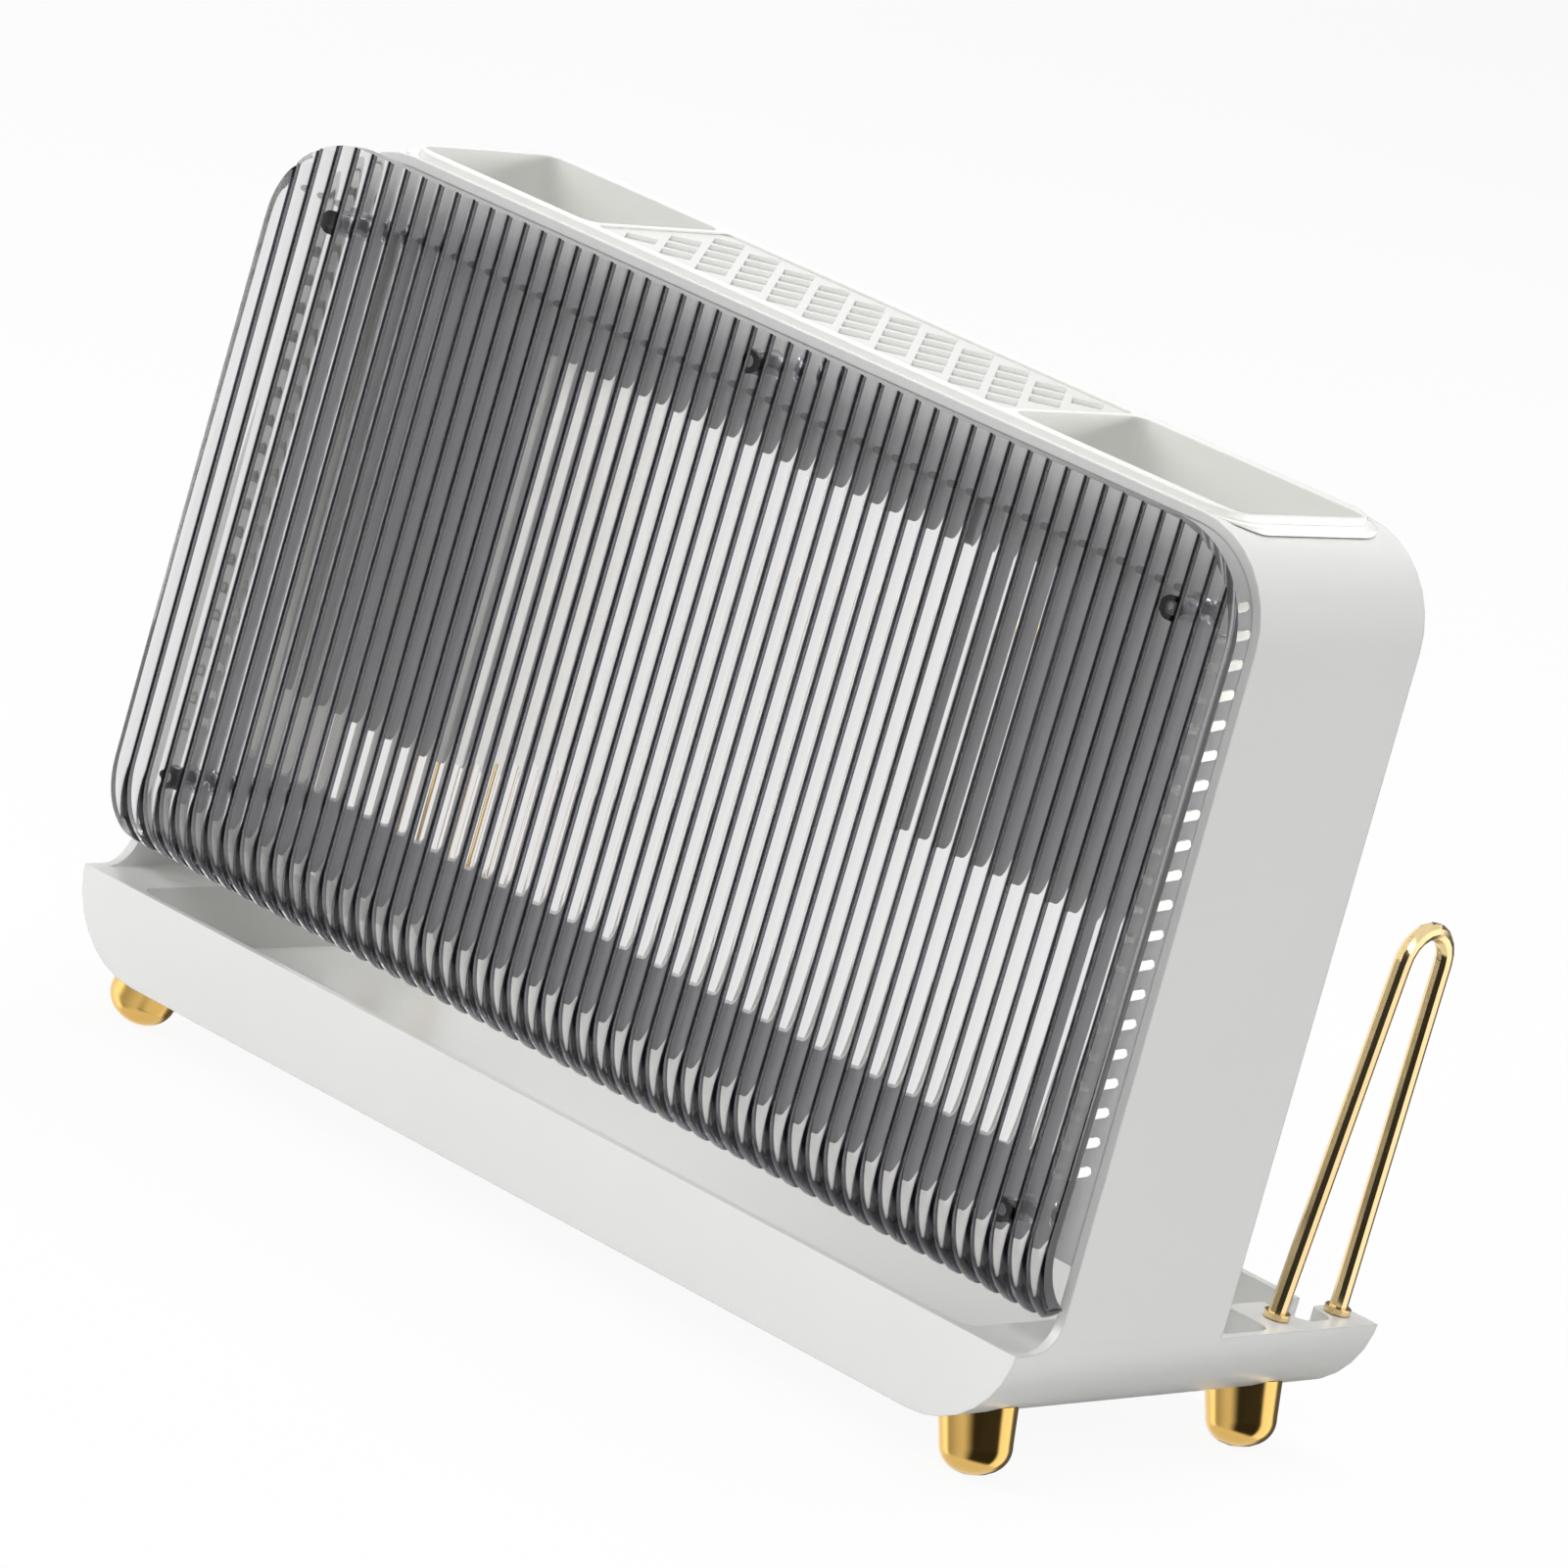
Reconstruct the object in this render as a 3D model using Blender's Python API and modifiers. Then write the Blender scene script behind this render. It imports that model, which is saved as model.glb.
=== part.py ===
"""Utensil drying holder for a kitchen counter.

A white moulded casing stands on four gold feet.  Its hood is open at the
back and carries, in an opening in its top, a lift-out organiser with two
cups and a drop-in knife grid.  A smoke-tinted fluted cover stands in front
of the hood on five posts and curls back above the drip tray.  Behind the
hood the tray goes on, and a gold wire loop at each end keeps boards and
lids upright.

Metres, +Z up, front facing -Y.  The origin is under the middle of the
model, at the level of the surface it stands on.
"""

import math

import bmesh
import bpy
from mathutils import Matrix, Vector

# Shared clearances
FIT = 0.0003
OVERRUN = 0.002
WELD = 0.00001

# Casing, seen from the front: a tall rounded outline, a little narrower at the top
CASE_BASE_HALF = 0.1562
CASE_LEAN = 0.0050
CASE_TOP_HALF = CASE_BASE_HALF - CASE_LEAN
CASE_BASE_Z = 0.0134
CASE_HEIGHT = 0.2181
CASE_TOP_Z = CASE_BASE_Z + CASE_HEIGHT
CASE_TOP_RADIUS = 0.0250
CASE_BOW_RADIUS = 0.0254
CASE_WALL = 0.0025

# Casing, seen from the side: distances behind the plane of the front frame
HOOD_DEPTH = 0.0644
TRAY_LIP_REACH = 0.0147
TRAY_BEHIND = 0.0638
TRAY_REAR = HOOD_DEPTH + TRAY_BEHIND
TRAY_HEIGHT = 0.0233
TRAY_TOP_Z = CASE_BASE_Z + TRAY_HEIGHT
CHEEK_RADIUS = 0.0085

# Drip tray
FLOOR_THICKNESS = 0.0063
FLOOR_Z = CASE_BASE_Z + FLOOR_THICKNESS
FLOOR_WALL = 0.0025
LIP_WALL = 0.0025
REAR_WALL_DROP = 0.0030
REAR_WALL_TOP_Z = TRAY_TOP_Z - REAR_WALL_DROP
LAND_WIDTH = 0.0182
LAND_INNER_X = CASE_BASE_HALF - LAND_WIDTH
LAND_SIDE_WALL = 0.0050
TRAY_CORNER_RADIUS = 0.0040

# Front frame and its window
FRAME_RISE = 0.0205
FRAME_BOTTOM_Z = TRAY_TOP_Z + FRAME_RISE
FRAME_SETBACK = 0.0004
SILL_HEIGHT = 0.0190
WINDOW_BOTTOM_Z = FRAME_BOTTOM_Z + SILL_HEIGHT
HEADER_HEIGHT = 0.0183
WINDOW_TOP_Z = CASE_TOP_Z - HEADER_HEIGHT
STILE_WIDTH = 0.0272
WINDOW_HALF = CASE_BASE_HALF - STILE_WIDTH
WINDOW_RADIUS = 0.0060

# Slanted vents beside the window
VENT_COUNT = 20
VENT_LOW_GAP = 0.0012
VENT_FIRST_Z = WINDOW_BOTTOM_Z + VENT_LOW_GAP
VENT_TOP_GAP = 0.0158
VENT_PITCH = (CASE_TOP_Z - VENT_TOP_GAP - VENT_FIRST_Z) / (VENT_COUNT - 1)
VENT_LENGTH = 0.0100
VENT_WIDTH = 0.0024
VENT_EDGE = 0.0062
VENT_OUTER_X = CASE_BASE_HALF - VENT_EDGE
VENT_TILT = math.radians(30)

# Underside recesses between stiffening ribs
UNDER_EDGE = 0.0332
UNDER_HALF = CASE_BASE_HALF - UNDER_EDGE
UNDER_RIM = 0.0060
UNDER_RIB = 0.0020
UNDER_COLUMNS = 6
UNDER_ROWS = 2
UNDER_RADIUS = 0.0030

# Rear ends of the lands: board recess, then the drain notch with its spout
RECESS_START_GAP = 0.0012
RECESS_START = HOOD_DEPTH + RECESS_START_GAP
RECESS_LENGTH = 0.0224
RECESS_END = RECESS_START + RECESS_LENGTH
RECESS_DEPTH = 0.0075
RECESS_FLOOR_Z = TRAY_TOP_Z - RECESS_DEPTH
NOTCH_REAR_WALL = 0.0112
NOTCH_END = TRAY_REAR - NOTCH_REAR_WALL
NOTCH_LENGTH = 0.0130
NOTCH_START = NOTCH_END - NOTCH_LENGTH
NOTCH_DEPTH = 0.0090
NOTCH_FLOOR_Z = TRAY_TOP_Z - NOTCH_DEPTH
NOTCH_RADIUS = 0.0040
SPOUT_RADIUS = 0.0020
SPOUT_INWARD = 0.0060
SPOUT_INNER_X = LAND_INNER_X - SPOUT_INWARD
SPOUT_OUTWARD = 0.0048
SPOUT_OUTER_X = LAND_INNER_X + SPOUT_OUTWARD

# Screws of one pan-headed kind
SCREW_RADIUS = 0.0013
SCREW_HEAD_RADIUS = 0.0026
SCREW_HEAD_HEIGHT = 0.0016
SCREW_TIP = 0.0015
COVER_SCREW_LENGTH = 0.0125

# Feet and their screws: domes that stand square to the casing's bow
FOOT_X = LAND_INNER_X
FOOT_TILT = math.radians(16.4)
FOOT_FRONT_INSET = 0.0170
FOOT_FRONT = FOOT_FRONT_INSET - TRAY_LIP_REACH
FOOT_REAR_INSET = 0.0218
FOOT_REAR = TRAY_REAR - FOOT_REAR_INSET
FOOT_PROUD = 0.0143
FOOT_REACH = CASE_BOW_RADIUS + FOOT_PROUD
FOOT_SPARE = 0.0037
FOOT_HEIGHT = FOOT_PROUD + FOOT_SPARE
FOOT_TOP_RADIUS = 0.0098
FOOT_MIDDLE_RADIUS = 0.0086
FOOT_MIDDLE_HEIGHT = 0.0062
FOOT_MIDDLE_ROUND = 0.0060
FOOT_LOW_RADIUS = 0.0052
FOOT_LOW_ROUND = 0.0030
FOOT_WELL_RADIUS = SCREW_HEAD_RADIUS + FIT
FOOT_WELL_ROOF = 0.0052
FOOT_WELL_DEPTH = FOOT_PROUD - FOOT_WELL_ROOF
FOOT_HEAD_TOP = FOOT_WELL_DEPTH - FIT
FOOT_SCREW_GRIP = 0.0040
FOOT_SCREW_LENGTH = FOOT_PROUD + FOOT_SCREW_GRIP - FOOT_HEAD_TOP

# Fluted cover
COVER_PROUD = 0.0011
COVER_REACH = TRAY_LIP_REACH + COVER_PROUD
SHEET_GAP = 0.00095
SHEET_HALF = CASE_BASE_HALF - SHEET_GAP
FLUTE_COUNT = 54
FLUTE_PITCH = 2 * SHEET_HALF / FLUTE_COUNT
FLUTE_RISE = 0.0009
COVER_BACKING = 0.0029
COVER_TOP_OVER = 0.0030
COVER_TOP_HALF = CASE_TOP_HALF + COVER_TOP_OVER
COVER_LOW_OVER = 0.00025
COVER_LOW_HALF = SHEET_HALF + COVER_LOW_OVER
COVER_LOW_RADIUS = 0.0060
CURL_RISE = 0.0080
CURL_START_Z = FRAME_BOTTOM_Z + CURL_RISE
CURL_RADIUS = 0.0242
CURL_ANGLE = math.radians(61)

# Posts that hold the cover, placed on the frame
POST_RADIUS = 0.0030
POST_SINK = 0.0010
POST_SKIN = 0.0027
POST_BORE_END = COVER_REACH - POST_SKIN
POST_TOP_INSET = 0.0190
POST_TOP_X = COVER_TOP_HALF - POST_TOP_INSET
POST_TOP_DROP = 0.0202
POST_TOP_Z = CASE_TOP_Z - POST_TOP_DROP
POST_LOW_INSET = 0.0170
POST_LOW_X = COVER_LOW_HALF - POST_LOW_INSET
POST_LOW_RISE = 0.0010
POST_LOW_Z = CURL_START_Z + POST_LOW_RISE
POST_MIDDLE_DROP = 0.0086
POST_MIDDLE_Z = CASE_TOP_Z - POST_MIDDLE_DROP

# Organiser: rim, two cups and the bay between them
RIM_SIDE_GAP = 0.0142
RIM_HALF = CASE_TOP_HALF - RIM_SIDE_GAP
RIM_FRONT_GAP = 0.0020
RIM_RISE = 0.0015
RIM_TOP_Z = CASE_TOP_Z + RIM_RISE
RIM_RADIUS = 0.0110
RIM_SEAT_DEPTH = 0.0012
RIM_OVERHANG = 0.0030
RIM_STEP_INSET = 0.0034
RIM_STEP_DROP = 0.0018
RIM_STEP_SETBACK = 0.0006
CUP_OUTER_X = RIM_HALF - RIM_OVERHANG
CUP_WALL = 0.0018
CUP_FLOOR = 0.0020
CUP_DRAFT = 0.0020
CUP_FRONT_DRAFT = 0.0030
CUP_REAR_DRAFT = 0.0014
CUP_RADIUS = 0.0060
LEFT_CUP_WIDTH = 0.0620
BAY_LEFT_X = LEFT_CUP_WIDTH - CUP_OUTER_X
LEFT_CUP_DEPTH = 0.1388
LEFT_CUP_BOTTOM_Z = RIM_TOP_Z - LEFT_CUP_DEPTH
RIGHT_CUP_WIDTH = 0.0740
BAY_RIGHT_X = CUP_OUTER_X - RIGHT_CUP_WIDTH
RIGHT_CUP_DEPTH = 0.1018
RIGHT_CUP_BOTTOM_Z = RIM_TOP_Z - RIGHT_CUP_DEPTH
BAY_DEPTH = 0.0328
BAY_BOTTOM_Z = RIM_TOP_Z - BAY_DEPTH
HEAD_CLEARANCE = 0.0004

# Drain holes in the cup floors
DRAIN_RADIUS = 0.0025
DRAIN_PITCH = 0.0120
DRAIN_COLUMNS = 4
DRAIN_ROWS = 3

# Knife grid and the tabs it rests on
GRID_DROP = 0.0005
GRID_TOP_Z = RIM_TOP_Z - GRID_DROP
GRID_THICKNESS = 0.0020
GRID_RADIUS = 0.0020
GRID_PITCH_X = 0.01165
GRID_PITCH_Y = 0.0083
GRID_RIB = 0.0022
GRID_BORDER = 0.0024
TAB_LENGTH = 0.0100
TAB_REACH = 0.0025
TAB_HEIGHT = 0.0020

# Wire loops at the rear
LOOP_INSET = 0.0087
LOOP_X = CASE_BASE_HALF - LOOP_INSET
LOOP_WIRE_RADIUS = 0.00225
LOOP_FRONT_INSET = 0.0316
LOOP_FRONT_FOOT = TRAY_REAR - LOOP_FRONT_INSET
LOOP_REAR_INSET = 0.0067
LOOP_REAR_FOOT = TRAY_REAR - LOOP_REAR_INSET
LOOP_FRONT_LEAN = 0.0066
LOOP_FRONT_TOP = LOOP_FRONT_FOOT + LOOP_FRONT_LEAN
LOOP_REAR_LEAN = 0.0014
LOOP_REAR_TOP = LOOP_REAR_FOOT - LOOP_REAR_LEAN
LOOP_HEIGHT = 0.1010
LOOP_TOP_Z = TRAY_TOP_Z + LOOP_HEIGHT
LOOP_SEAT_DEPTH = 0.0115
COLLAR_RADIUS = 0.0033
COLLAR_HEIGHT = 0.0015

# Facets along curves
CORNER_STEPS = 8
SMALL_STEPS = 3
HOLE_STEPS = 10
FOOT_STEPS = 24
SCREW_STEPS = 10
FLUTE_STEPS = 3
CURL_STEPS = 7
ARCH_STEPS = 10
WIRE_RESOLUTION = 3

# Places that follow from the sizes above
PLANE_Y = (COVER_REACH - TRAY_REAR) / 2
FRAME_BACK = FRAME_SETBACK + CASE_WALL
POST_END = FRAME_SETBACK - FIT
SHEET_BACK = -COVER_REACH + FLUTE_RISE + COVER_BACKING
BODY_FRONT = FRAME_BACK + FIT + SCREW_HEAD_HEIGHT + HEAD_CLEARANCE
BODY_REAR = HOOD_DEPTH - BODY_FRONT
RIM_REAR = HOOD_DEPTH - RIM_FRONT_GAP
SEAT_Z = CASE_TOP_Z - RIM_SEAT_DEPTH
RIM_UNDER_Z = SEAT_Z + FIT
RIM_STEP_Z = RIM_TOP_Z - RIM_STEP_DROP
GRID_UNDER_Z = GRID_TOP_Z - GRID_THICKNESS
GRID_MIDDLE_X = (BAY_LEFT_X + BAY_RIGHT_X) / 2

# Turns that lay a flat outline across an axis: (X, Z), (Y, Z) or (X, Y)
TURN = {
    "Y": Matrix(((1, 0, 0, 0), (0, 0, -1, 0), (0, 1, 0, 0), (0, 0, 0, 1))),
    "X": Matrix(((0, 0, 1, 0), (1, 0, 0, 0), (0, 1, 0, 0), (0, 0, 0, 1))),
    "Z": Matrix.Identity(4),
}
AXIS = {"X": Vector((1, 0, 0)), "Y": Vector((0, 1, 0)), "Z": Vector((0, 0, 1))}


def clear_scene():
    """Remove every object that the scene opened with."""
    for item in list(bpy.data.objects):
        bpy.data.objects.remove(item, do_unlink=True)


def new_collection(name):
    """Add a collection to the scene."""
    group = bpy.data.collections.new(name)
    bpy.context.scene.collection.children.link(group)
    return group


clear_scene()
PARTS = new_collection("utensil_drying_holder")
CUTTERS = new_collection("cutters")
ASSEMBLY = bpy.data.objects.new("assembly", None)
ASSEMBLY.location = (0, PLANE_Y, 0)
PARTS.objects.link(ASSEMBLY)


def finish_material(name, colour, roughness, metallic=0.0, transmission=0.0):
    """Make the plain material of one sub-part."""
    made = bpy.data.materials.new(name)
    made.use_nodes = True
    shader = made.node_tree.nodes["Principled BSDF"]
    shader.inputs["Base Color"].default_value = (*colour, 1.0)
    shader.inputs["Roughness"].default_value = roughness
    shader.inputs["Metallic"].default_value = metallic
    shader.inputs["Transmission Weight"].default_value = transmission
    return made


WHITE = finish_material("white_gloss_plastic", (0.84, 0.84, 0.82), 0.22)
WARM_WHITE = finish_material("white_organiser_plastic", (0.86, 0.86, 0.83), 0.28)
GRID_WHITE = finish_material("white_grid_plastic", (0.87, 0.87, 0.85), 0.30)
SMOKE = finish_material("smoke_clear_plastic", (0.16, 0.16, 0.18), 0.06, transmission=0.8)
GOLD = finish_material("polished_gold", (0.86, 0.62, 0.26), 0.12, metallic=1.0)
STEEL = finish_material("dark_steel", (0.10, 0.10, 0.11), 0.35, metallic=1.0)


def place(item, group, local):
    """Link an object and set its place relative to the front frame's plane."""
    group.objects.link(item)
    item.parent = ASSEMBLY
    item.matrix_local = local
    if group is CUTTERS:
        item.hide_render = True
        item.display_type = "WIRE"
    return item


def as_mesh(curve, group):
    """Turn a curve object into a welded mesh object of the same name and place."""
    bpy.context.view_layer.update()
    graph = bpy.context.evaluated_depsgraph_get()
    mesh = bpy.data.meshes.new_from_object(curve.evaluated_get(graph))
    name = curve.name
    local = curve.matrix_local.copy()
    bpy.data.objects.remove(curve, do_unlink=True)
    shape = bmesh.new()
    shape.from_mesh(mesh)
    bmesh.ops.remove_doubles(shape, verts=shape.verts, dist=WELD)
    bmesh.ops.recalc_face_normals(shape, faces=shape.faces)
    shape.to_mesh(mesh)
    shape.free()
    mesh.name = name
    return place(bpy.data.objects.new(name, mesh), group, local)


def prism(name, loops, across, low, high, group=None):
    """Extrude flat outlines from low to high across an axis; inner loops are holes."""
    data = bpy.data.curves.new(name, "CURVE")
    data.dimensions = "2D"
    data.fill_mode = "BOTH"
    data.extrude = (high - low) / 2
    for loop in loops:
        spline = data.splines.new("POLY")
        spline.points.add(len(loop) - 1)
        for point, spot in zip(spline.points, loop):
            point.co = (spot[0], spot[1], 0, 1)
        spline.use_cyclic_u = True
    group = group or CUTTERS
    curve = bpy.data.objects.new(name, data)
    middle = Matrix.Translation(AXIS[across] * (low + high) / 2)
    place(curve, group, middle @ TURN[across])
    return as_mesh(curve, group)


def rounded(corners, radii, steps=CORNER_STEPS):
    """Return the outline through the corners, each rounded to its own radius."""
    points = []
    for index, corner in enumerate(corners):
        here = Vector(corner)
        radius = radii[index]
        if radius == 0:
            points.append(here)
            continue
        before = (Vector(corners[index - 1]) - here).normalized()
        after = (Vector(corners[(index + 1) % len(corners)]) - here).normalized()
        half = before.angle(after) / 2
        centre = here + (before + after).normalized() * radius / math.sin(half)
        start = here + before * radius / math.tan(half) - centre
        finish = here + after * radius / math.tan(half) - centre
        first = math.atan2(start.y, start.x)
        sweep = math.atan2(start.x * finish.y - start.y * finish.x, start.dot(finish))
        for step in range(steps + 1):
            angle = first + sweep * step / steps
            points.append(centre + Vector((math.cos(angle), math.sin(angle))) * radius)
    return points


def box_outline(left, right, low, high, radius=0, steps=SMALL_STEPS):
    """Return a rectangle's outline with equal corner radii."""
    corners = ((left, low), (right, low), (right, high), (left, high))
    return rounded(corners, (radius,) * 4, steps)


def circle_outline(x, y, radius, steps=HOLE_STEPS):
    """Return a regular outline round a centre."""
    turns = [math.tau * step / steps for step in range(steps)]
    return [Vector((x + radius * math.cos(turn), y + radius * math.sin(turn))) for turn in turns]


def combine(target, tool, operation):
    """Add a Boolean modifier that joins, cuts or keeps the common part."""
    step = target.modifiers.new(tool.name, "BOOLEAN")
    step.operation = operation
    step.object = tool


def case_half(z, inset=0.0):
    """Half width of the casing at a height, measured in from its leaning side."""
    share = (z - CASE_BASE_Z) / (CASE_TOP_Z - CASE_BASE_Z)
    return CASE_BASE_HALF + (CASE_TOP_HALF - CASE_BASE_HALF) * share - inset


def case_outline(grow=0.0):
    """Outline of the whole casing from the front, grown by a clearance."""
    low = CASE_BASE_Z - grow
    top = CASE_TOP_Z + grow
    corners = (
        (-case_half(low) - grow, low),
        (case_half(low) + grow, low),
        (case_half(top) + grow, top),
        (-case_half(top) - grow, top),
    )
    bow = CASE_BOW_RADIUS + grow
    shoulder = CASE_TOP_RADIUS + grow
    return rounded(corners, (bow, bow, shoulder, shoulder))


def inner_outline(low, inset):
    """Outline inside the casing's skin, from a height up to under its top."""
    top = CASE_TOP_Z - inset
    corners = (
        (-case_half(low, inset), low),
        (case_half(low, inset), low),
        (case_half(top, inset), top),
        (-case_half(top, inset), top),
    )
    shoulder = CASE_TOP_RADIUS - inset
    return rounded(corners, (0, 0, shoulder, shoulder))


def side_profile():
    """Outline of the casing from the side, behind the front frame's plane."""
    below = CASE_BASE_Z - OVERRUN
    above = CASE_TOP_Z + OVERRUN
    corners = (
        (-TRAY_LIP_REACH, below),
        (TRAY_REAR, below),
        (TRAY_REAR, TRAY_TOP_Z),
        (HOOD_DEPTH, TRAY_TOP_Z),
        (HOOD_DEPTH, above),
        (0, above),
        (0, TRAY_TOP_Z),
        (-TRAY_LIP_REACH, TRAY_TOP_Z),
    )
    return rounded(corners, (0, 0, 0, 0, 0, 0, CHEEK_RADIUS, 0))


def skin_half(z, inset):
    """Half width of the casing at a height, round the shoulder as well as below it."""
    rise = z - (CASE_TOP_Z - CASE_TOP_RADIUS)
    if rise <= 0:
        return case_half(z, inset)
    middle = case_half(CASE_TOP_Z - CASE_TOP_RADIUS) - CASE_TOP_RADIUS
    return middle + math.sqrt((CASE_TOP_RADIUS - inset) ** 2 - rise * rise)


def vent_outline(side, z):
    """Outline of one slanted vent with round ends, kept inside the casing's skin."""
    along = Vector((math.cos(VENT_TILT), math.sin(VENT_TILT)))
    over = Vector((-along.y, along.x))
    end = VENT_WIDTH / 2
    middle_x = VENT_OUTER_X - along.x * VENT_LENGTH / 2
    reach = VENT_LENGTH / 2 - end
    room = skin_half(z + side * along.y * reach, CASE_WALL) - end - middle_x
    outer = min(reach, room / along.x)
    points = []
    for way, length in ((side, outer), (-side, reach)):
        for step in range(SMALL_STEPS + 1):
            angle = math.pi * (step / SMALL_STEPS - 0.5)
            out = length + math.cos(angle) * end
            spot = along * out + over * math.sin(angle) * end
            points.append(Vector((side * middle_x, z)) + way * spot)
    return points


def vent_outlines():
    """Outlines of both columns of vents."""
    heights = [VENT_FIRST_Z + VENT_PITCH * index for index in range(VENT_COUNT)]
    return [vent_outline(side, z) for side in (-1, 1) for z in heights]


def under_outlines():
    """Outlines of the recesses under the tray floor, between its ribs."""
    width = (2 * UNDER_HALF - UNDER_RIB * (UNDER_COLUMNS - 1)) / UNDER_COLUMNS
    front = -TRAY_LIP_REACH + UNDER_RIM
    span = TRAY_REAR - UNDER_RIM - front
    depth = (span - UNDER_RIB * (UNDER_ROWS - 1)) / UNDER_ROWS
    loops = []
    for column in range(UNDER_COLUMNS):
        left = -UNDER_HALF + column * (width + UNDER_RIB)
        for row in range(UNDER_ROWS):
            near = front + row * (depth + UNDER_RIB)
            loops.append(box_outline(left, left + width, near, near + depth, UNDER_RADIUS))
    return loops


def foot_places():
    """The four feet: name, side and distance behind the frame."""
    return (
        ("front_left", -1, FOOT_FRONT),
        ("front_right", 1, FOOT_FRONT),
        ("rear_left", -1, FOOT_REAR),
        ("rear_right", 1, FOOT_REAR),
    )


def foot_home(side, y):
    """Placement of a foot along the bow's radius, with its low end at the local origin."""
    x = FOOT_X - CASE_BOW_RADIUS * math.sin(FOOT_TILT)
    middle = Matrix.Translation((side * x, y, CASE_BASE_Z + CASE_BOW_RADIUS))
    lean = Matrix.Rotation(-side * FOOT_TILT, 4, "Y")
    return middle @ lean @ Matrix.Translation((0, 0, -FOOT_REACH))


def post_places():
    """Centres of the cover's five posts: name, x and z."""
    return (
        ("top_left", -POST_TOP_X, POST_TOP_Z),
        ("top_middle", 0, POST_MIDDLE_Z),
        ("top_right", POST_TOP_X, POST_TOP_Z),
        ("low_left", -POST_LOW_X, POST_LOW_Z),
        ("low_right", POST_LOW_X, POST_LOW_Z),
    )


def both_ends(corners, radii):
    """Outlines of one shape on the right land and of its mirror on the left."""
    right = rounded(corners, radii, SMALL_STEPS)
    left = [Vector((-point.x, point.y)) for point in reversed(right)]
    return [left, right]


def frame_loops():
    """Outline of the front frame, its window, its vents and its screw holes."""
    loops = [inner_outline(FRAME_BOTTOM_Z, CASE_WALL / 2)]
    loops.append(box_outline(-WINDOW_HALF, WINDOW_HALF, WINDOW_BOTTOM_Z, WINDOW_TOP_Z, WINDOW_RADIUS))
    loops.extend(vent_outlines())
    loops.extend(circle_outline(x, z, SCREW_RADIUS + FIT) for _, x, z in post_places())
    return loops


def build_casing():
    """Hood, front frame, drip tray and lands, moulded in one piece."""
    casing = prism("casing", [case_outline()], "Y", -TRAY_LIP_REACH, TRAY_REAR, PARTS)
    reach = CASE_BASE_HALF + OVERRUN
    combine(casing, prism("side_profile", [side_profile()], "X", -reach, reach), "INTERSECT")

    front = -TRAY_LIP_REACH - OVERRUN
    back = TRAY_REAR + OVERRUN
    hollow = inner_outline(TRAY_TOP_Z, CASE_WALL)
    combine(casing, prism("hood_hollow", [hollow], "Y", front, back), "DIFFERENCE")
    combine(casing, prism("front_frame", frame_loops(), "Y", FRAME_SETBACK, FRAME_BACK), "UNION")

    near = LIP_WALL - TRAY_LIP_REACH
    far = TRAY_REAR - LIP_WALL
    trough = box_outline(-LAND_INNER_X, LAND_INNER_X, near, far, TRAY_CORNER_RADIUS)
    rim = TRAY_TOP_Z + OVERRUN
    combine(casing, prism("trough", [trough], "Z", FLOOR_Z, rim), "DIFFERENCE")
    half = (SPOUT_INNER_X + LAND_INNER_X) / 2
    low_wall = box_outline(-half, half, far - OVERRUN, back)
    combine(casing, prism("rear_wall_top", [low_wall], "Z", REAR_WALL_TOP_Z, rim), "DIFFERENCE")

    cut_top_opening(casing)
    cut_underside(casing)
    cut_rear_ends(casing)
    casing.data.materials.append(WHITE)


def cut_top_opening(casing):
    """Open the hood's top for the organiser and sink a seat for its rim."""
    hole_x = CUP_OUTER_X + FIT
    hole = box_outline(-hole_x, hole_x, BODY_FRONT - FIT, BODY_REAR + FIT, CUP_RADIUS + FIT)
    above = CASE_TOP_Z + OVERRUN
    under = CASE_TOP_Z - CASE_WALL - CASE_TOP_RADIUS / 2
    combine(casing, prism("top_opening", [hole], "Z", under, above), "DIFFERENCE")
    seat_x = RIM_HALF + FIT
    near = RIM_FRONT_GAP - FIT
    far = RIM_REAR + FIT
    seat = box_outline(-seat_x, seat_x, near, far, RIM_RADIUS + FIT, CORNER_STEPS)
    combine(casing, prism("rim_seat", [seat], "Z", SEAT_Z, above), "DIFFERENCE")


def cut_underside(casing):
    """Core the floor from below between ribs and bore it for the feet's screws."""
    below = CASE_BASE_Z - OVERRUN
    roof = FLOOR_Z - FLOOR_WALL
    combine(casing, prism("under_recesses", under_outlines(), "Z", below, roof), "DIFFERENCE")
    start = FOOT_PROUD - OVERRUN
    end = FOOT_PROUD + FOOT_SCREW_GRIP + FIT
    middle = Matrix.Translation((0, 0, (start + end) / 2))
    for name, side, y in foot_places():
        hole = circle_outline(0, 0, SCREW_RADIUS + FIT)
        bore = prism("foot_bore_" + name, [hole], "Z", start, end)
        bore.matrix_local = foot_home(side, y) @ middle
        combine(casing, bore, "DIFFERENCE")


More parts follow.
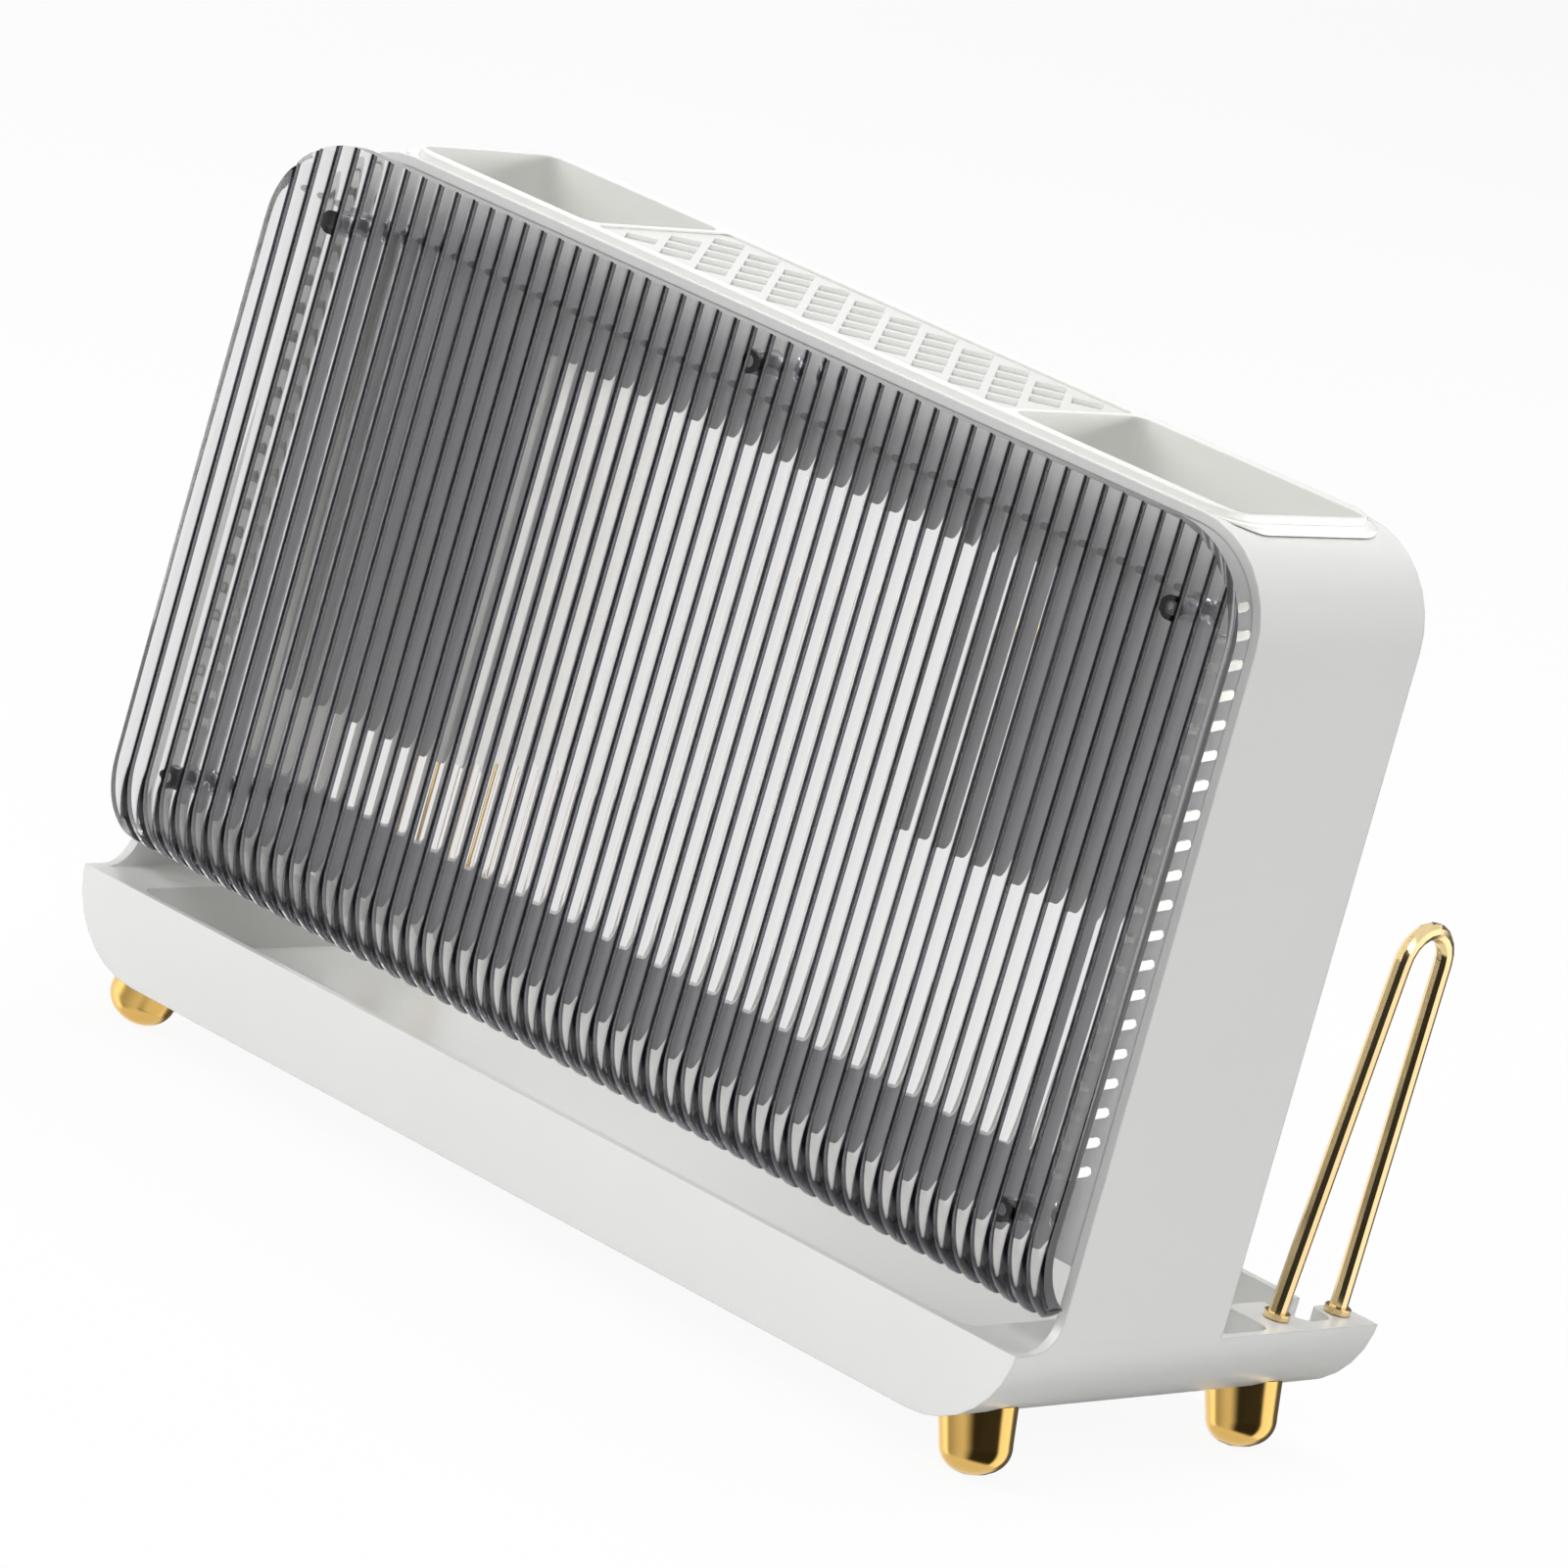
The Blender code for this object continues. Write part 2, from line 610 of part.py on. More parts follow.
def cut_rear_ends(casing):
    """Board recess, drain notch with its spout, and the wire loops' bores in each land."""
    rim = TRAY_TOP_Z + OVERRUN
    over = LAND_INNER_X - OVERRUN
    wall = case_half(TRAY_TOP_Z, CASE_WALL)
    deep = case_half(TRAY_TOP_Z, LAND_SIDE_WALL)
    back = TRAY_REAR + OVERRUN
    recess = ((over, RECESS_START), (wall, RECESS_START), (wall, RECESS_END), (over, RECESS_END))
    recesses = both_ends(recess, (0, NOTCH_RADIUS, NOTCH_RADIUS, 0))
    notch = (
        (SPOUT_INNER_X, NOTCH_START),
        (deep, NOTCH_START),
        (deep, NOTCH_END),
        (SPOUT_OUTER_X, NOTCH_END),
        (SPOUT_OUTER_X, back),
        (SPOUT_INNER_X, back),
    )
    notches = both_ends(notch, (0, NOTCH_RADIUS, NOTCH_RADIUS, SPOUT_RADIUS, 0, 0))
    combine(casing, prism("board_recesses", recesses, "Z", RECESS_FLOOR_Z, rim), "DIFFERENCE")
    combine(casing, prism("drain_notches", notches, "Z", NOTCH_FLOOR_Z, rim), "DIFFERENCE")
    bores = [
        circle_outline(side * LOOP_X, y, LOOP_WIRE_RADIUS + FIT)
        for side in (-1, 1)
        for y in (LOOP_FRONT_FOOT, LOOP_REAR_FOOT)
    ]
    depth = TRAY_TOP_Z - LOOP_SEAT_DEPTH - FIT
    combine(casing, prism("loop_bores", bores, "Z", depth, rim), "DIFFERENCE")


def flute_section():
    """Plan outline of the cover's sheet: 54 convex flutes in front, flat behind."""
    half = FLUTE_PITCH / 2
    bend = (half * half + FLUTE_RISE * FLUTE_RISE) / (2 * FLUTE_RISE)
    groove = -COVER_REACH + FLUTE_RISE
    left = -SHEET_HALF
    points = []
    for flute in range(FLUTE_COUNT):
        for step in range(FLUTE_STEPS):
            over = FLUTE_PITCH * step / FLUTE_STEPS
            rise = math.sqrt(bend * bend - (over - half) ** 2) - (bend - FLUTE_RISE)
            points.append((left + flute * FLUTE_PITCH + over, groove - rise))
    points.append((-left, groove))
    points.append((-left, SHEET_BACK))
    points.append((left, SHEET_BACK))
    return points


def cover_sheet():
    """Sweep the fluted section up the flat and round the curl, then close its ends."""
    shape = bmesh.new()
    ring = [shape.verts.new((x, y, CURL_START_Z)) for x, y in flute_section()]
    start = [shape.edges.new((ring[index - 1], ring[index])) for index in range(len(ring))]
    rise = bmesh.ops.extrude_edge_only(shape, edges=start)["geom"]
    top = [item for item in rise if isinstance(item, bmesh.types.BMVert)]
    bmesh.ops.translate(shape, verts=top, vec=(0, 0, CASE_TOP_Z - CURL_START_Z))
    bmesh.ops.spin(
        shape,
        geom=start,
        cent=(0, CURL_RADIUS - COVER_REACH, CURL_START_Z),
        axis=(1, 0, 0),
        angle=CURL_ANGLE,
        steps=CURL_STEPS,
    )
    ends = [edge for edge in shape.edges if edge.is_boundary]
    bmesh.ops.holes_fill(shape, edges=ends, sides=0)
    bmesh.ops.recalc_face_normals(shape, faces=shape.faces)
    mesh = bpy.data.meshes.new("front_cover")
    shape.to_mesh(mesh)
    shape.free()
    return place(bpy.data.objects.new("front_cover", mesh), PARTS, Matrix.Identity(4))


def build_cover():
    """Fluted smoke cover with its five moulded posts."""
    cover = cover_sheet()
    low = CURL_START_Z - CURL_RADIUS * math.sin(CURL_ANGLE)
    corners = (
        (-COVER_LOW_HALF, low),
        (COVER_LOW_HALF, low),
        (COVER_TOP_HALF, CASE_TOP_Z),
        (-COVER_TOP_HALF, CASE_TOP_Z),
    )
    radii = (COVER_LOW_RADIUS, COVER_LOW_RADIUS, CASE_TOP_RADIUS, CASE_TOP_RADIUS)
    trim = prism("cover_outline", [rounded(corners, radii)], "Y", -COVER_REACH - OVERRUN, CURL_RADIUS)
    combine(cover, trim, "INTERSECT")
    posts = [circle_outline(x, z, POST_RADIUS) for _, x, z in post_places()]
    bores = [circle_outline(x, z, SCREW_RADIUS + FIT) for _, x, z in post_places()]
    sunk = SHEET_BACK - POST_SINK
    combine(cover, prism("cover_posts", posts, "Y", sunk, POST_END), "UNION")
    combine(cover, prism("post_bores", bores, "Y", -POST_BORE_END, OVERRUN), "DIFFERENCE")
    cover.data.materials.append(SMOKE)


def tapered(name, top_box, low_box, low, high, radius, group=None):
    """A block with rounded corners whose plan goes from one box to another."""
    left, right, near, far = top_box
    block = prism(name, [box_outline(left, right, near, far, radius)], "Z", low, high, group)
    for vertex in block.data.vertices:
        if vertex.co.z > 0:
            continue
        share_x = (vertex.co.x - left) / (right - left)
        share_y = (vertex.co.y - near) / (far - near)
        vertex.co.x = low_box[0] + (low_box[1] - low_box[0]) * share_x
        vertex.co.y = low_box[2] + (low_box[3] - low_box[2]) * share_y
    return block


def cup_boxes(inner, outer, inset):
    """Plan boxes of a cup at its top and its bottom, inset by a wall."""
    side = 1 if outer > inner else -1
    top_x = sorted((inner + side * inset, outer - side * inset))
    low_x = sorted((inner + side * (inset + CUP_DRAFT / 2), outer - side * (inset + CUP_DRAFT)))
    top = (*top_x, BODY_FRONT + inset, BODY_REAR - inset)
    low = (*low_x, BODY_FRONT + inset + CUP_FRONT_DRAFT, BODY_REAR - inset - CUP_REAR_DRAFT)
    return top, low


def drain_outlines(boxes):
    """Outlines of the round drain holes in the middle of each cup's floor."""
    loops = []
    for left, right, near, far in boxes:
        middle_x = (left + right) / 2
        middle_y = (near + far) / 2
        for column in range(DRAIN_COLUMNS):
            x = middle_x + (column - (DRAIN_COLUMNS - 1) / 2) * DRAIN_PITCH
            for row in range(DRAIN_ROWS):
                y = middle_y + (row - (DRAIN_ROWS - 1) / 2) * DRAIN_PITCH
                loops.append(circle_outline(x, y, DRAIN_RADIUS))
    return loops


def build_organiser():
    """Rim, two cups of unlike depth and an open bay, moulded in one piece."""
    plan = box_outline(-RIM_HALF, RIM_HALF, RIM_FRONT_GAP, RIM_REAR, RIM_RADIUS, CORNER_STEPS)
    lip = RIM_UNDER_Z - CUP_FLOOR
    organiser = prism("organiser", [plan], "Z", lip, RIM_STEP_Z, PARTS)
    hood = prism("rim_under", [case_outline(FIT)], "Y", -OVERRUN, HOOD_DEPTH + OVERRUN)
    reach = CASE_BASE_HALF + OVERRUN
    level = prism("rim_level", [box_outline(-reach, reach, 0, RIM_UNDER_Z)], "Y", -reach, reach)
    combine(hood, level, "INTERSECT")
    combine(organiser, hood, "DIFFERENCE")
    step_x = RIM_HALF - RIM_STEP_INSET
    front = RIM_FRONT_GAP + RIM_STEP_SETBACK
    back = RIM_REAR - RIM_STEP_SETBACK
    raised = box_outline(-step_x, step_x, front, back, RIM_RADIUS, CORNER_STEPS)
    rim = prism("raised_rim", [raised], "Z", RIM_UNDER_Z, RIM_TOP_Z)
    combine(organiser, rim, "UNION")

    sunk = (RIM_UNDER_Z + RIM_STEP_Z) / 2
    left_top, left_low = cup_boxes(BAY_LEFT_X, -CUP_OUTER_X, 0)
    right_top, right_low = cup_boxes(BAY_RIGHT_X, CUP_OUTER_X, 0)
    left_cup = tapered("left_cup", left_top, left_low, LEFT_CUP_BOTTOM_Z, sunk, CUP_RADIUS)
    right_cup = tapered("right_cup", right_top, right_low, RIGHT_CUP_BOTTOM_Z, sunk, CUP_RADIUS)
    skirt_left = BAY_LEFT_X - CUP_WALL
    skirt_right = BAY_RIGHT_X + CUP_WALL
    skirt_plan = box_outline(skirt_left, skirt_right, BODY_FRONT, BODY_REAR)
    skirt = prism("bay_skirt", [skirt_plan], "Z", BAY_BOTTOM_Z, sunk)
    for block in (left_cup, right_cup, skirt):
        combine(organiser, block, "UNION")

    over = RIM_TOP_Z + OVERRUN
    hollow_radius = CUP_RADIUS - CUP_WALL
    left_top, left_low = cup_boxes(BAY_LEFT_X, -CUP_OUTER_X, CUP_WALL)
    right_top, right_low = cup_boxes(BAY_RIGHT_X, CUP_OUTER_X, CUP_WALL)
    left_floor = LEFT_CUP_BOTTOM_Z + CUP_FLOOR
    right_floor = RIGHT_CUP_BOTTOM_Z + CUP_FLOOR
    left_hollow = tapered("left_hollow", left_top, left_low, left_floor, over, hollow_radius)
    right_hollow = tapered("right_hollow", right_top, right_low, right_floor, over, hollow_radius)
    near = BODY_FRONT + CUP_WALL
    far = BODY_REAR - CUP_WALL
    bay_plan = box_outline(BAY_LEFT_X, BAY_RIGHT_X, near, far, GRID_RADIUS)
    bay = prism("bay_hollow", [bay_plan], "Z", BAY_BOTTOM_Z - OVERRUN, over)
    for block in (left_hollow, right_hollow, bay):
        combine(organiser, block, "DIFFERENCE")

    tab_top = GRID_UNDER_Z - FIT
    tabs = []
    for x in (BAY_LEFT_X + TAB_LENGTH, GRID_MIDDLE_X, BAY_RIGHT_X - TAB_LENGTH):
        left = x - TAB_LENGTH / 2
        right = x + TAB_LENGTH / 2
        tabs.append(box_outline(left, right, near - CUP_WALL / 2, near + TAB_REACH))
        tabs.append(box_outline(left, right, far - TAB_REACH, far + CUP_WALL / 2))
    combine(organiser, prism("grid_tabs", tabs, "Z", tab_top - TAB_HEIGHT, tab_top), "UNION")
    drains = drain_outlines((left_low, right_low))
    under = LEFT_CUP_BOTTOM_Z - OVERRUN
    combine(organiser, prism("drains", drains, "Z", under, right_floor + OVERRUN), "DIFFERENCE")
    organiser.data.materials.append(WARM_WHITE)


def diamond(x, y):
    """Outline of one diamond hole, sized so that a rib is left between neighbours."""
    slope = math.hypot(GRID_PITCH_X / 2, GRID_PITCH_Y)
    half_x = GRID_PITCH_X / 2 - GRID_RIB / 2 * slope / GRID_PITCH_Y
    half_y = GRID_PITCH_Y - GRID_RIB / 2 * slope / (GRID_PITCH_X / 2)
    corners = ((x - half_x, y), (x, y - half_y), (x + half_x, y), (x, y + half_y))
    return [Vector(corner) for corner in corners]


def diamonds(left, right, near, far):
    """Outlines of staggered diamonds whose middles lie inside a box."""
    middle_x = (left + right) / 2
    middle_y = (near + far) / 2
    columns = int((right - left) / GRID_PITCH_X) + 1
    rows = int((far - near) / GRID_PITCH_Y)
    loops = []
    for row in range(rows):
        y = middle_y + (row - (rows - 1) / 2) * GRID_PITCH_Y
        count = columns - row % 2
        for column in range(count):
            loops.append(diamond(middle_x + (column - (count - 1) / 2) * GRID_PITCH_X, y))
    return loops


def build_grid():
    """Drop-in plate of crossing ribs with diamond holes for knives."""
    near = BODY_FRONT + CUP_WALL + FIT
    far = BODY_REAR - CUP_WALL - FIT
    left = BAY_LEFT_X + FIT
    right = BAY_RIGHT_X - FIT
    plan = box_outline(left, right, near, far, GRID_RADIUS)
    grid = prism("knife_grid", [plan], "Z", GRID_UNDER_Z, GRID_TOP_Z, PARTS)
    under = GRID_UNDER_Z - OVERRUN
    over = GRID_TOP_Z + OVERRUN
    left += GRID_BORDER
    right -= GRID_BORDER
    near += GRID_BORDER
    far -= GRID_BORDER
    holes = prism("grid_holes", diamonds(left, right, near, far), "Z", under, over)
    field = prism("grid_field", [box_outline(left, right, near, far)], "Z", under - OVERRUN, over + OVERRUN)
    combine(holes, field, "INTERSECT")
    combine(grid, holes, "DIFFERENCE")
    grid.data.materials.append(GRID_WHITE)


def turned(name, profile, local, steps, surface):
    """Turn a profile of (radius, height) points about the local Z axis."""
    mesh = bpy.data.meshes.new(name)
    closed = profile[0][0] > 0
    count = len(profile)
    edges = [(index, index + 1) for index in range(count - 1)]
    if closed:
        edges.append((count - 1, 0))
    mesh.from_pydata([(radius, 0, height) for radius, height in profile], edges, [])
    item = place(bpy.data.objects.new(name, mesh), PARTS, local)
    screw = item.modifiers.new("turn", "SCREW")
    screw.steps = steps
    screw.render_steps = steps
    screw.use_merge_vertices = True
    screw.merge_threshold = WELD
    screw.use_smooth_shade = True
    item.data.materials.append(surface)
    return item


def screw_profile(length):
    """Pan-headed screw from its head down to its tip, head underside at zero."""
    neck = SCREW_HEAD_RADIUS * math.cos(math.pi / 4)
    return (
        (0, SCREW_HEAD_HEIGHT),
        (neck, SCREW_HEAD_HEIGHT),
        (SCREW_HEAD_RADIUS, SCREW_HEAD_HEIGHT / 2),
        (SCREW_HEAD_RADIUS, 0),
        (SCREW_RADIUS, 0),
        (SCREW_RADIUS, SCREW_TIP - length),
        (0, -length),
    )


def build_feet():
    """Gold domes cut to the casing's bow and flat to the counter, each with its screw."""
    corners = (
        (FOOT_TOP_RADIUS, FOOT_HEIGHT),
        (FOOT_MIDDLE_RADIUS, FOOT_MIDDLE_HEIGHT),
        (FOOT_LOW_RADIUS, 0),
        (FOOT_WELL_RADIUS, 0),
    )
    outer = rounded(corners, (0, FOOT_MIDDLE_ROUND, FOOT_LOW_ROUND, 0), SMALL_STEPS)
    bore = SCREW_RADIUS + FIT
    profile = [(point.x, point.y) for point in outer]
    profile.extend(((FOOT_WELL_RADIUS, FOOT_WELL_DEPTH), (bore, FOOT_WELL_DEPTH), (bore, FOOT_HEIGHT)))
    bow = prism("bow", [case_outline(FIT)], "Y", -TRAY_LIP_REACH - OVERRUN, TRAY_REAR + OVERRUN)
    ground_plan = box_outline(-CASE_BASE_HALF, CASE_BASE_HALF, -TRAY_LIP_REACH, TRAY_REAR)
    ground = prism("ground", [ground_plan], "Z", -FOOT_PROUD, 0)
    head = Matrix.Translation((0, 0, FOOT_HEAD_TOP)) @ Matrix.Rotation(math.pi, 4, "X")
    for name, side, y in foot_places():
        home = foot_home(side, y)
        foot = turned("foot_" + name, profile, home, FOOT_STEPS, GOLD)
        combine(foot, bow, "DIFFERENCE")
        combine(foot, ground, "DIFFERENCE")
        screw = screw_profile(FOOT_SCREW_LENGTH)
        turned("foot_screw_" + name, screw, home @ head, SCREW_STEPS, STEEL)


def build_cover_screws():
    """Screws from behind the frame into the cover's posts."""
    turn = Matrix.Rotation(-math.pi / 2, 4, "X")
    for name, x, z in post_places():
        home = Matrix.Translation((x, FRAME_BACK + FIT, z)) @ turn
        turned("cover_screw_" + name, screw_profile(COVER_SCREW_LENGTH), home, SCREW_STEPS, STEEL)


def loop_route():
    """Points of one wire loop from its front end, over the arch, to its rear end."""
    bend = (LOOP_REAR_TOP - LOOP_FRONT_TOP) / 2
    middle = (LOOP_REAR_TOP + LOOP_FRONT_TOP) / 2
    spring = LOOP_TOP_Z - LOOP_WIRE_RADIUS - bend
    low = TRAY_TOP_Z - LOOP_SEAT_DEPTH
    collar = TRAY_TOP_Z + FIT + COLLAR_HEIGHT
    route = [(LOOP_FRONT_FOOT, low), (LOOP_FRONT_FOOT, collar)]
    for step in range(ARCH_STEPS + 1):
        angle = math.pi * (1 - step / ARCH_STEPS)
        route.append((middle + bend * math.cos(angle), spring + bend * math.sin(angle)))
    route.extend(((LOOP_REAR_FOOT, collar), (LOOP_REAR_FOOT, low)))
    return route


def build_loop(name, x):
    """Gold wire bent over into a loop, with a collar on each leg."""
    data = bpy.data.curves.new(name, "CURVE")
    data.dimensions = "3D"
    data.bevel_depth = LOOP_WIRE_RADIUS
    data.bevel_resolution = WIRE_RESOLUTION
    data.use_fill_caps = True
    route = loop_route()
    spline = data.splines.new("POLY")
    spline.points.add(len(route) - 1)
    for point, (y, z) in zip(spline.points, route):
        point.co = (x, y, z, 1)
    curve = place(bpy.data.objects.new(name, data), PARTS, Matrix.Identity(4))
    loop = as_mesh(curve, PARTS)
    low = TRAY_TOP_Z + FIT
    legs = (LOOP_FRONT_FOOT, LOOP_REAR_FOOT)
    collars = [circle_outline(x, y, COLLAR_RADIUS) for y in legs]
    combine(loop, prism(name + "_collars", collars, "Z", low, low + COLLAR_HEIGHT), "UNION")
    loop.data.materials.append(GOLD)


build_casing()
build_cover()
build_organiser()
build_grid()
build_feet()
build_cover_screws()
build_loop("wire_loop_left", -LOOP_X)
build_loop("wire_loop_right", LOOP_X)
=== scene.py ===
# %% [markdown]
# # A utensil drying holder, dressed for its photograph
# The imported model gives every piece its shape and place.  Here each surface gets
# its finish, and the pieces whose curves matter most to the eye are made again
# with finer curves: the fluted smoke cover, its posts and the gold feet.

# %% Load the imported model
import math

import bmesh
import bpy
from mathutils import Matrix, Vector


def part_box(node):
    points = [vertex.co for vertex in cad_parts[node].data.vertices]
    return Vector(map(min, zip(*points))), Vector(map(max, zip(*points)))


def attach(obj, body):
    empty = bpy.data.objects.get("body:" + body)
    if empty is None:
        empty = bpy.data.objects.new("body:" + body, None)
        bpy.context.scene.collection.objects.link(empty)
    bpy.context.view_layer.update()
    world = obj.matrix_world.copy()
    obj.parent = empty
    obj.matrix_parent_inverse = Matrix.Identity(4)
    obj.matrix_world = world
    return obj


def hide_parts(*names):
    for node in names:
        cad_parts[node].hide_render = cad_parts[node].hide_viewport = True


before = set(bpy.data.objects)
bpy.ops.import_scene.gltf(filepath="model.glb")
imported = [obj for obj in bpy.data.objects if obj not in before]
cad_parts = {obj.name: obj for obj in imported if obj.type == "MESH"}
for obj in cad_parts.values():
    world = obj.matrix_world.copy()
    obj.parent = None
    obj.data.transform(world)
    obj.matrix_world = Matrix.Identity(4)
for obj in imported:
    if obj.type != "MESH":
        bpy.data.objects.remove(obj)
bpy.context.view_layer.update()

# %% [markdown]
# ## Camera
# The photograph was taken with a long lens from the right and a little above,
# and the picture was then turned by about 16 degrees.  A camera is three
# directions: right, up and backwards.  They are built from the azimuth, the
# elevation and the roll, so that each number can be tried on its own.

# %% Camera
AZIMUTH = math.radians(36.956)
ELEVATION = math.radians(13.221)
ROLL = math.radians(16.375)
LENS_MM = 204.96
CAMERA_PLACE = Vector((1.26066, -1.68560, 0.60942))


def camera_axes(azimuth, elevation, roll):
    """Right, up and backward directions of a camera that looks at the model."""
    flat = math.cos(elevation)
    ahead = Vector((-math.sin(azimuth) * flat, math.cos(azimuth) * flat, -math.sin(elevation)))
    level = Vector((math.cos(azimuth), math.sin(azimuth), 0))
    upright = level.cross(ahead)
    right = level * math.cos(roll) + upright * math.sin(roll)
    up = upright * math.cos(roll) - level * math.sin(roll)
    return right, up, -ahead


lens = bpy.data.cameras.new("photo_camera")
lens.sensor_width = 36
lens.sensor_fit = "HORIZONTAL"
lens.lens = LENS_MM
camera = bpy.data.objects.new("photo_camera", lens)
right, up, back = camera_axes(AZIMUTH, ELEVATION, ROLL)
camera.matrix_world = Matrix.Translation(CAMERA_PLACE) @ Matrix((right, up, back)).transposed().to_4x4()
bpy.context.scene.collection.objects.link(camera)
bpy.context.scene.camera = camera
print("camera at", [round(value, 3) for value in CAMERA_PLACE])

# %% [markdown]
# ## Floor, backdrop and lamps
# The photograph has a plain white ground.  The floor is a pale plane that
# glows a little, only for the rays that the camera, glass and metal send out,
# so it looks white but still takes the holder's shadow.  A world of the same
# white closes the scene.
#
# Large lamps give soft light.  Two small ones light the organiser alone, which
# stands in the shade of the hood, and one lights the walls of the knife grid's
# holes, which shade each other.
#
# A ring of cardboard stands round the holder as in a photo studio, dark on one
# side and pale on the other, so that the gold gets its dark and its bright bands.
# Only mirror-like rays meet it, and the floor is hidden from those rays, so that
# the feet, which look down, see the ring too.

# %% Helpers for node trees
scene = bpy.context.scene
scene.view_settings.view_transform = "Standard"


def new_material(name):
    """A node material with its Principled shader and output."""
    made = bpy.data.materials.new(name)
    made.use_nodes = True
    nodes = made.node_tree.nodes
    return made, nodes, made.node_tree.links, nodes["Principled BSDF"], nodes["Material Output"]


def math_node(tree, operation, first, second=None):
    """Add a Math node; its inputs may be numbers or sockets."""
    node = tree.nodes.new("ShaderNodeMath")
    node.operation = operation
    for socket, value in zip(node.inputs, (first, second)):
        if value is None:
            continue
        if isinstance(value, (int, float)):
            socket.default_value = value
        else:
            tree.links.new(value, socket)
    return node.outputs[0]


def shown_rays(tree):
    """One for camera, glossy and transmission rays that no matt surface sent out."""
    path = tree.nodes.new("ShaderNodeLightPath")
    seen = math_node(tree, "MAXIMUM", path.outputs["Is Camera Ray"], path.outputs["Is Glossy Ray"])
    seen = math_node(tree, "MAXIMUM", seen, path.outputs["Is Transmission Ray"])
    direct = math_node(tree, "LESS_THAN", path.outputs["Diffuse Depth"], 0.5)
    return math_node(tree, "MULTIPLY", seen, direct)


print("view transform:", scene.view_settings.view_transform)

# %% Floor
GLOW_SHARE = 0.93
FLOOR_HALF = 20
FLOOR_PALE = (0.90, 0.90, 0.90, 1)


def make_floor():
    """A wide pale plane under the feet."""
    shape = bmesh.new()
    bmesh.ops.create_grid(shape, x_segments=1, y_segments=1, size=FLOOR_HALF)
    mesh = bpy.data.meshes.new("floor")
    shape.to_mesh(mesh)
    shape.free()
    floor = bpy.data.objects.new("floor", mesh)
    scene.collection.objects.link(floor)
    made, nodes, links, shader, output = new_material("pale_floor")
    shader.inputs["Base Color"].default_value = FLOOR_PALE
    shader.inputs["Roughness"].default_value = 0.9
    shader.inputs["Specular IOR Level"].default_value = 0.1
    glow = nodes.new("ShaderNodeEmission")
    mix = nodes.new("ShaderNodeMixShader")
    links.new(math_node(made.node_tree, "MULTIPLY", shown_rays(made.node_tree), GLOW_SHARE), mix.inputs[0])
    links.new(shader.outputs[0], mix.inputs[1])
    links.new(glow.outputs[0], mix.inputs[2])
    links.new(mix.outputs[0], output.inputs["Surface"])
    mesh.materials.append(made)
    floor.visible_glossy = False


make_floor()
print("floor glows by", GLOW_SHARE)

# %% World
SOFT_LEVEL = 0.16


def make_world(level):
    """White where it is seen and a plain soft light elsewhere."""
    world = bpy.data.worlds.new("studio")
    world.use_nodes = True
    tree = world.node_tree
    ground = tree.nodes["Background"]
    rest = math_node(tree, "MULTIPLY", shown_rays(tree), 1 - level)
    tree.links.new(math_node(tree, "ADD", rest, level), ground.inputs["Strength"])
    ground.inputs["Color"].default_value = (1, 1, 1, 1)
    scene.world = world


make_world(SOFT_LEVEL)
print("world light:", SOFT_LEVEL)

# %% Lamps
def lamp(name, place, aim, size, power):
    """A square area lamp that looks at a point of the holder."""
    data = bpy.data.lights.new(name, "AREA")
    data.size = size
    data.energy = power
    item = bpy.data.objects.new(name, data)
    item.location = place
    item.rotation_euler = (Vector(aim) - Vector(place)).to_track_quat("-Z", "Y").to_euler()
    scene.collection.objects.link(item)
    return item


MIDDLE = (0.0, 0.0, 0.11)
lamp("key_front", (-1.1, -2.0, 1.2), MIDDLE, 1.5, 30)
lamp("high_right", (1.3, -1.5, 1.7), MIDDLE, 1.2, 18)
lamp("top_soft", (0.0, 0.3, 1.9), MIDDLE, 1.2, 21)
lamp("back_glow", (0.1, 2.0, 0.4), MIDDLE, 1.3, 12)

# %% Small lamps for single pieces
def lit_alone(name, node):
    """A collection that holds one piece, for the lamps that light it alone."""
    group = bpy.data.collections.new(name)
    group.objects.link(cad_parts[node])
    return group


ORGANISER_LIT = lit_alone("organiser_lit", "organiser")
GRID_LIT = lit_alone("grid_lit", "knife_grid")
GRID_MIDDLE = (-0.006, -0.022, 0.2245)


def inner_lamp(name, lit, place, aim, size, power, height=None):
    """A lamp that only one piece receives and that no ray can see."""
    item = lamp(name, place, aim, size, power)
    item.light_linking.receiver_collection = lit
    item.visible_camera = False
    item.visible_glossy = False
    item.visible_transmission = False
    if height:
        item.data.shape = "RECTANGLE"
        item.data.size_y = height


inner_lamp("side_glow", ORGANISER_LIT, (1.6, 0.9, 0.25), (-0.07, -0.02, 0.15), 0.5, 27)
inner_lamp("gap_strip", ORGANISER_LIT, (0.146, 0.004, 0.160), (0.1305, -0.035, 0.160), 0.008, 0.06, 0.13)
inner_lamp("grid_glow", GRID_LIT, (0.95, -1.27, 0.51), GRID_MIDDLE, 0.3, 16)

# %% Bands of the ring for the metal
RING_GLOW = 2.0
LOW_TONE = (0.5, 0.5, 0.5, 1)
LOW_TONE_END = -1.0
BANDS_START = -0.6
RING_TONES = (
    (-180, 0.60),
    (-150, 0.90),
    (-128, 0.28),
    (-80, 0.45),
    (-48, 0.01),
    (10, 0.01),
    (22, 0.75),
    (50, 0.80),
    (66, 0.06),
    (112, 0.06),
    (130, 0.60),
    (180, 0.60),
)


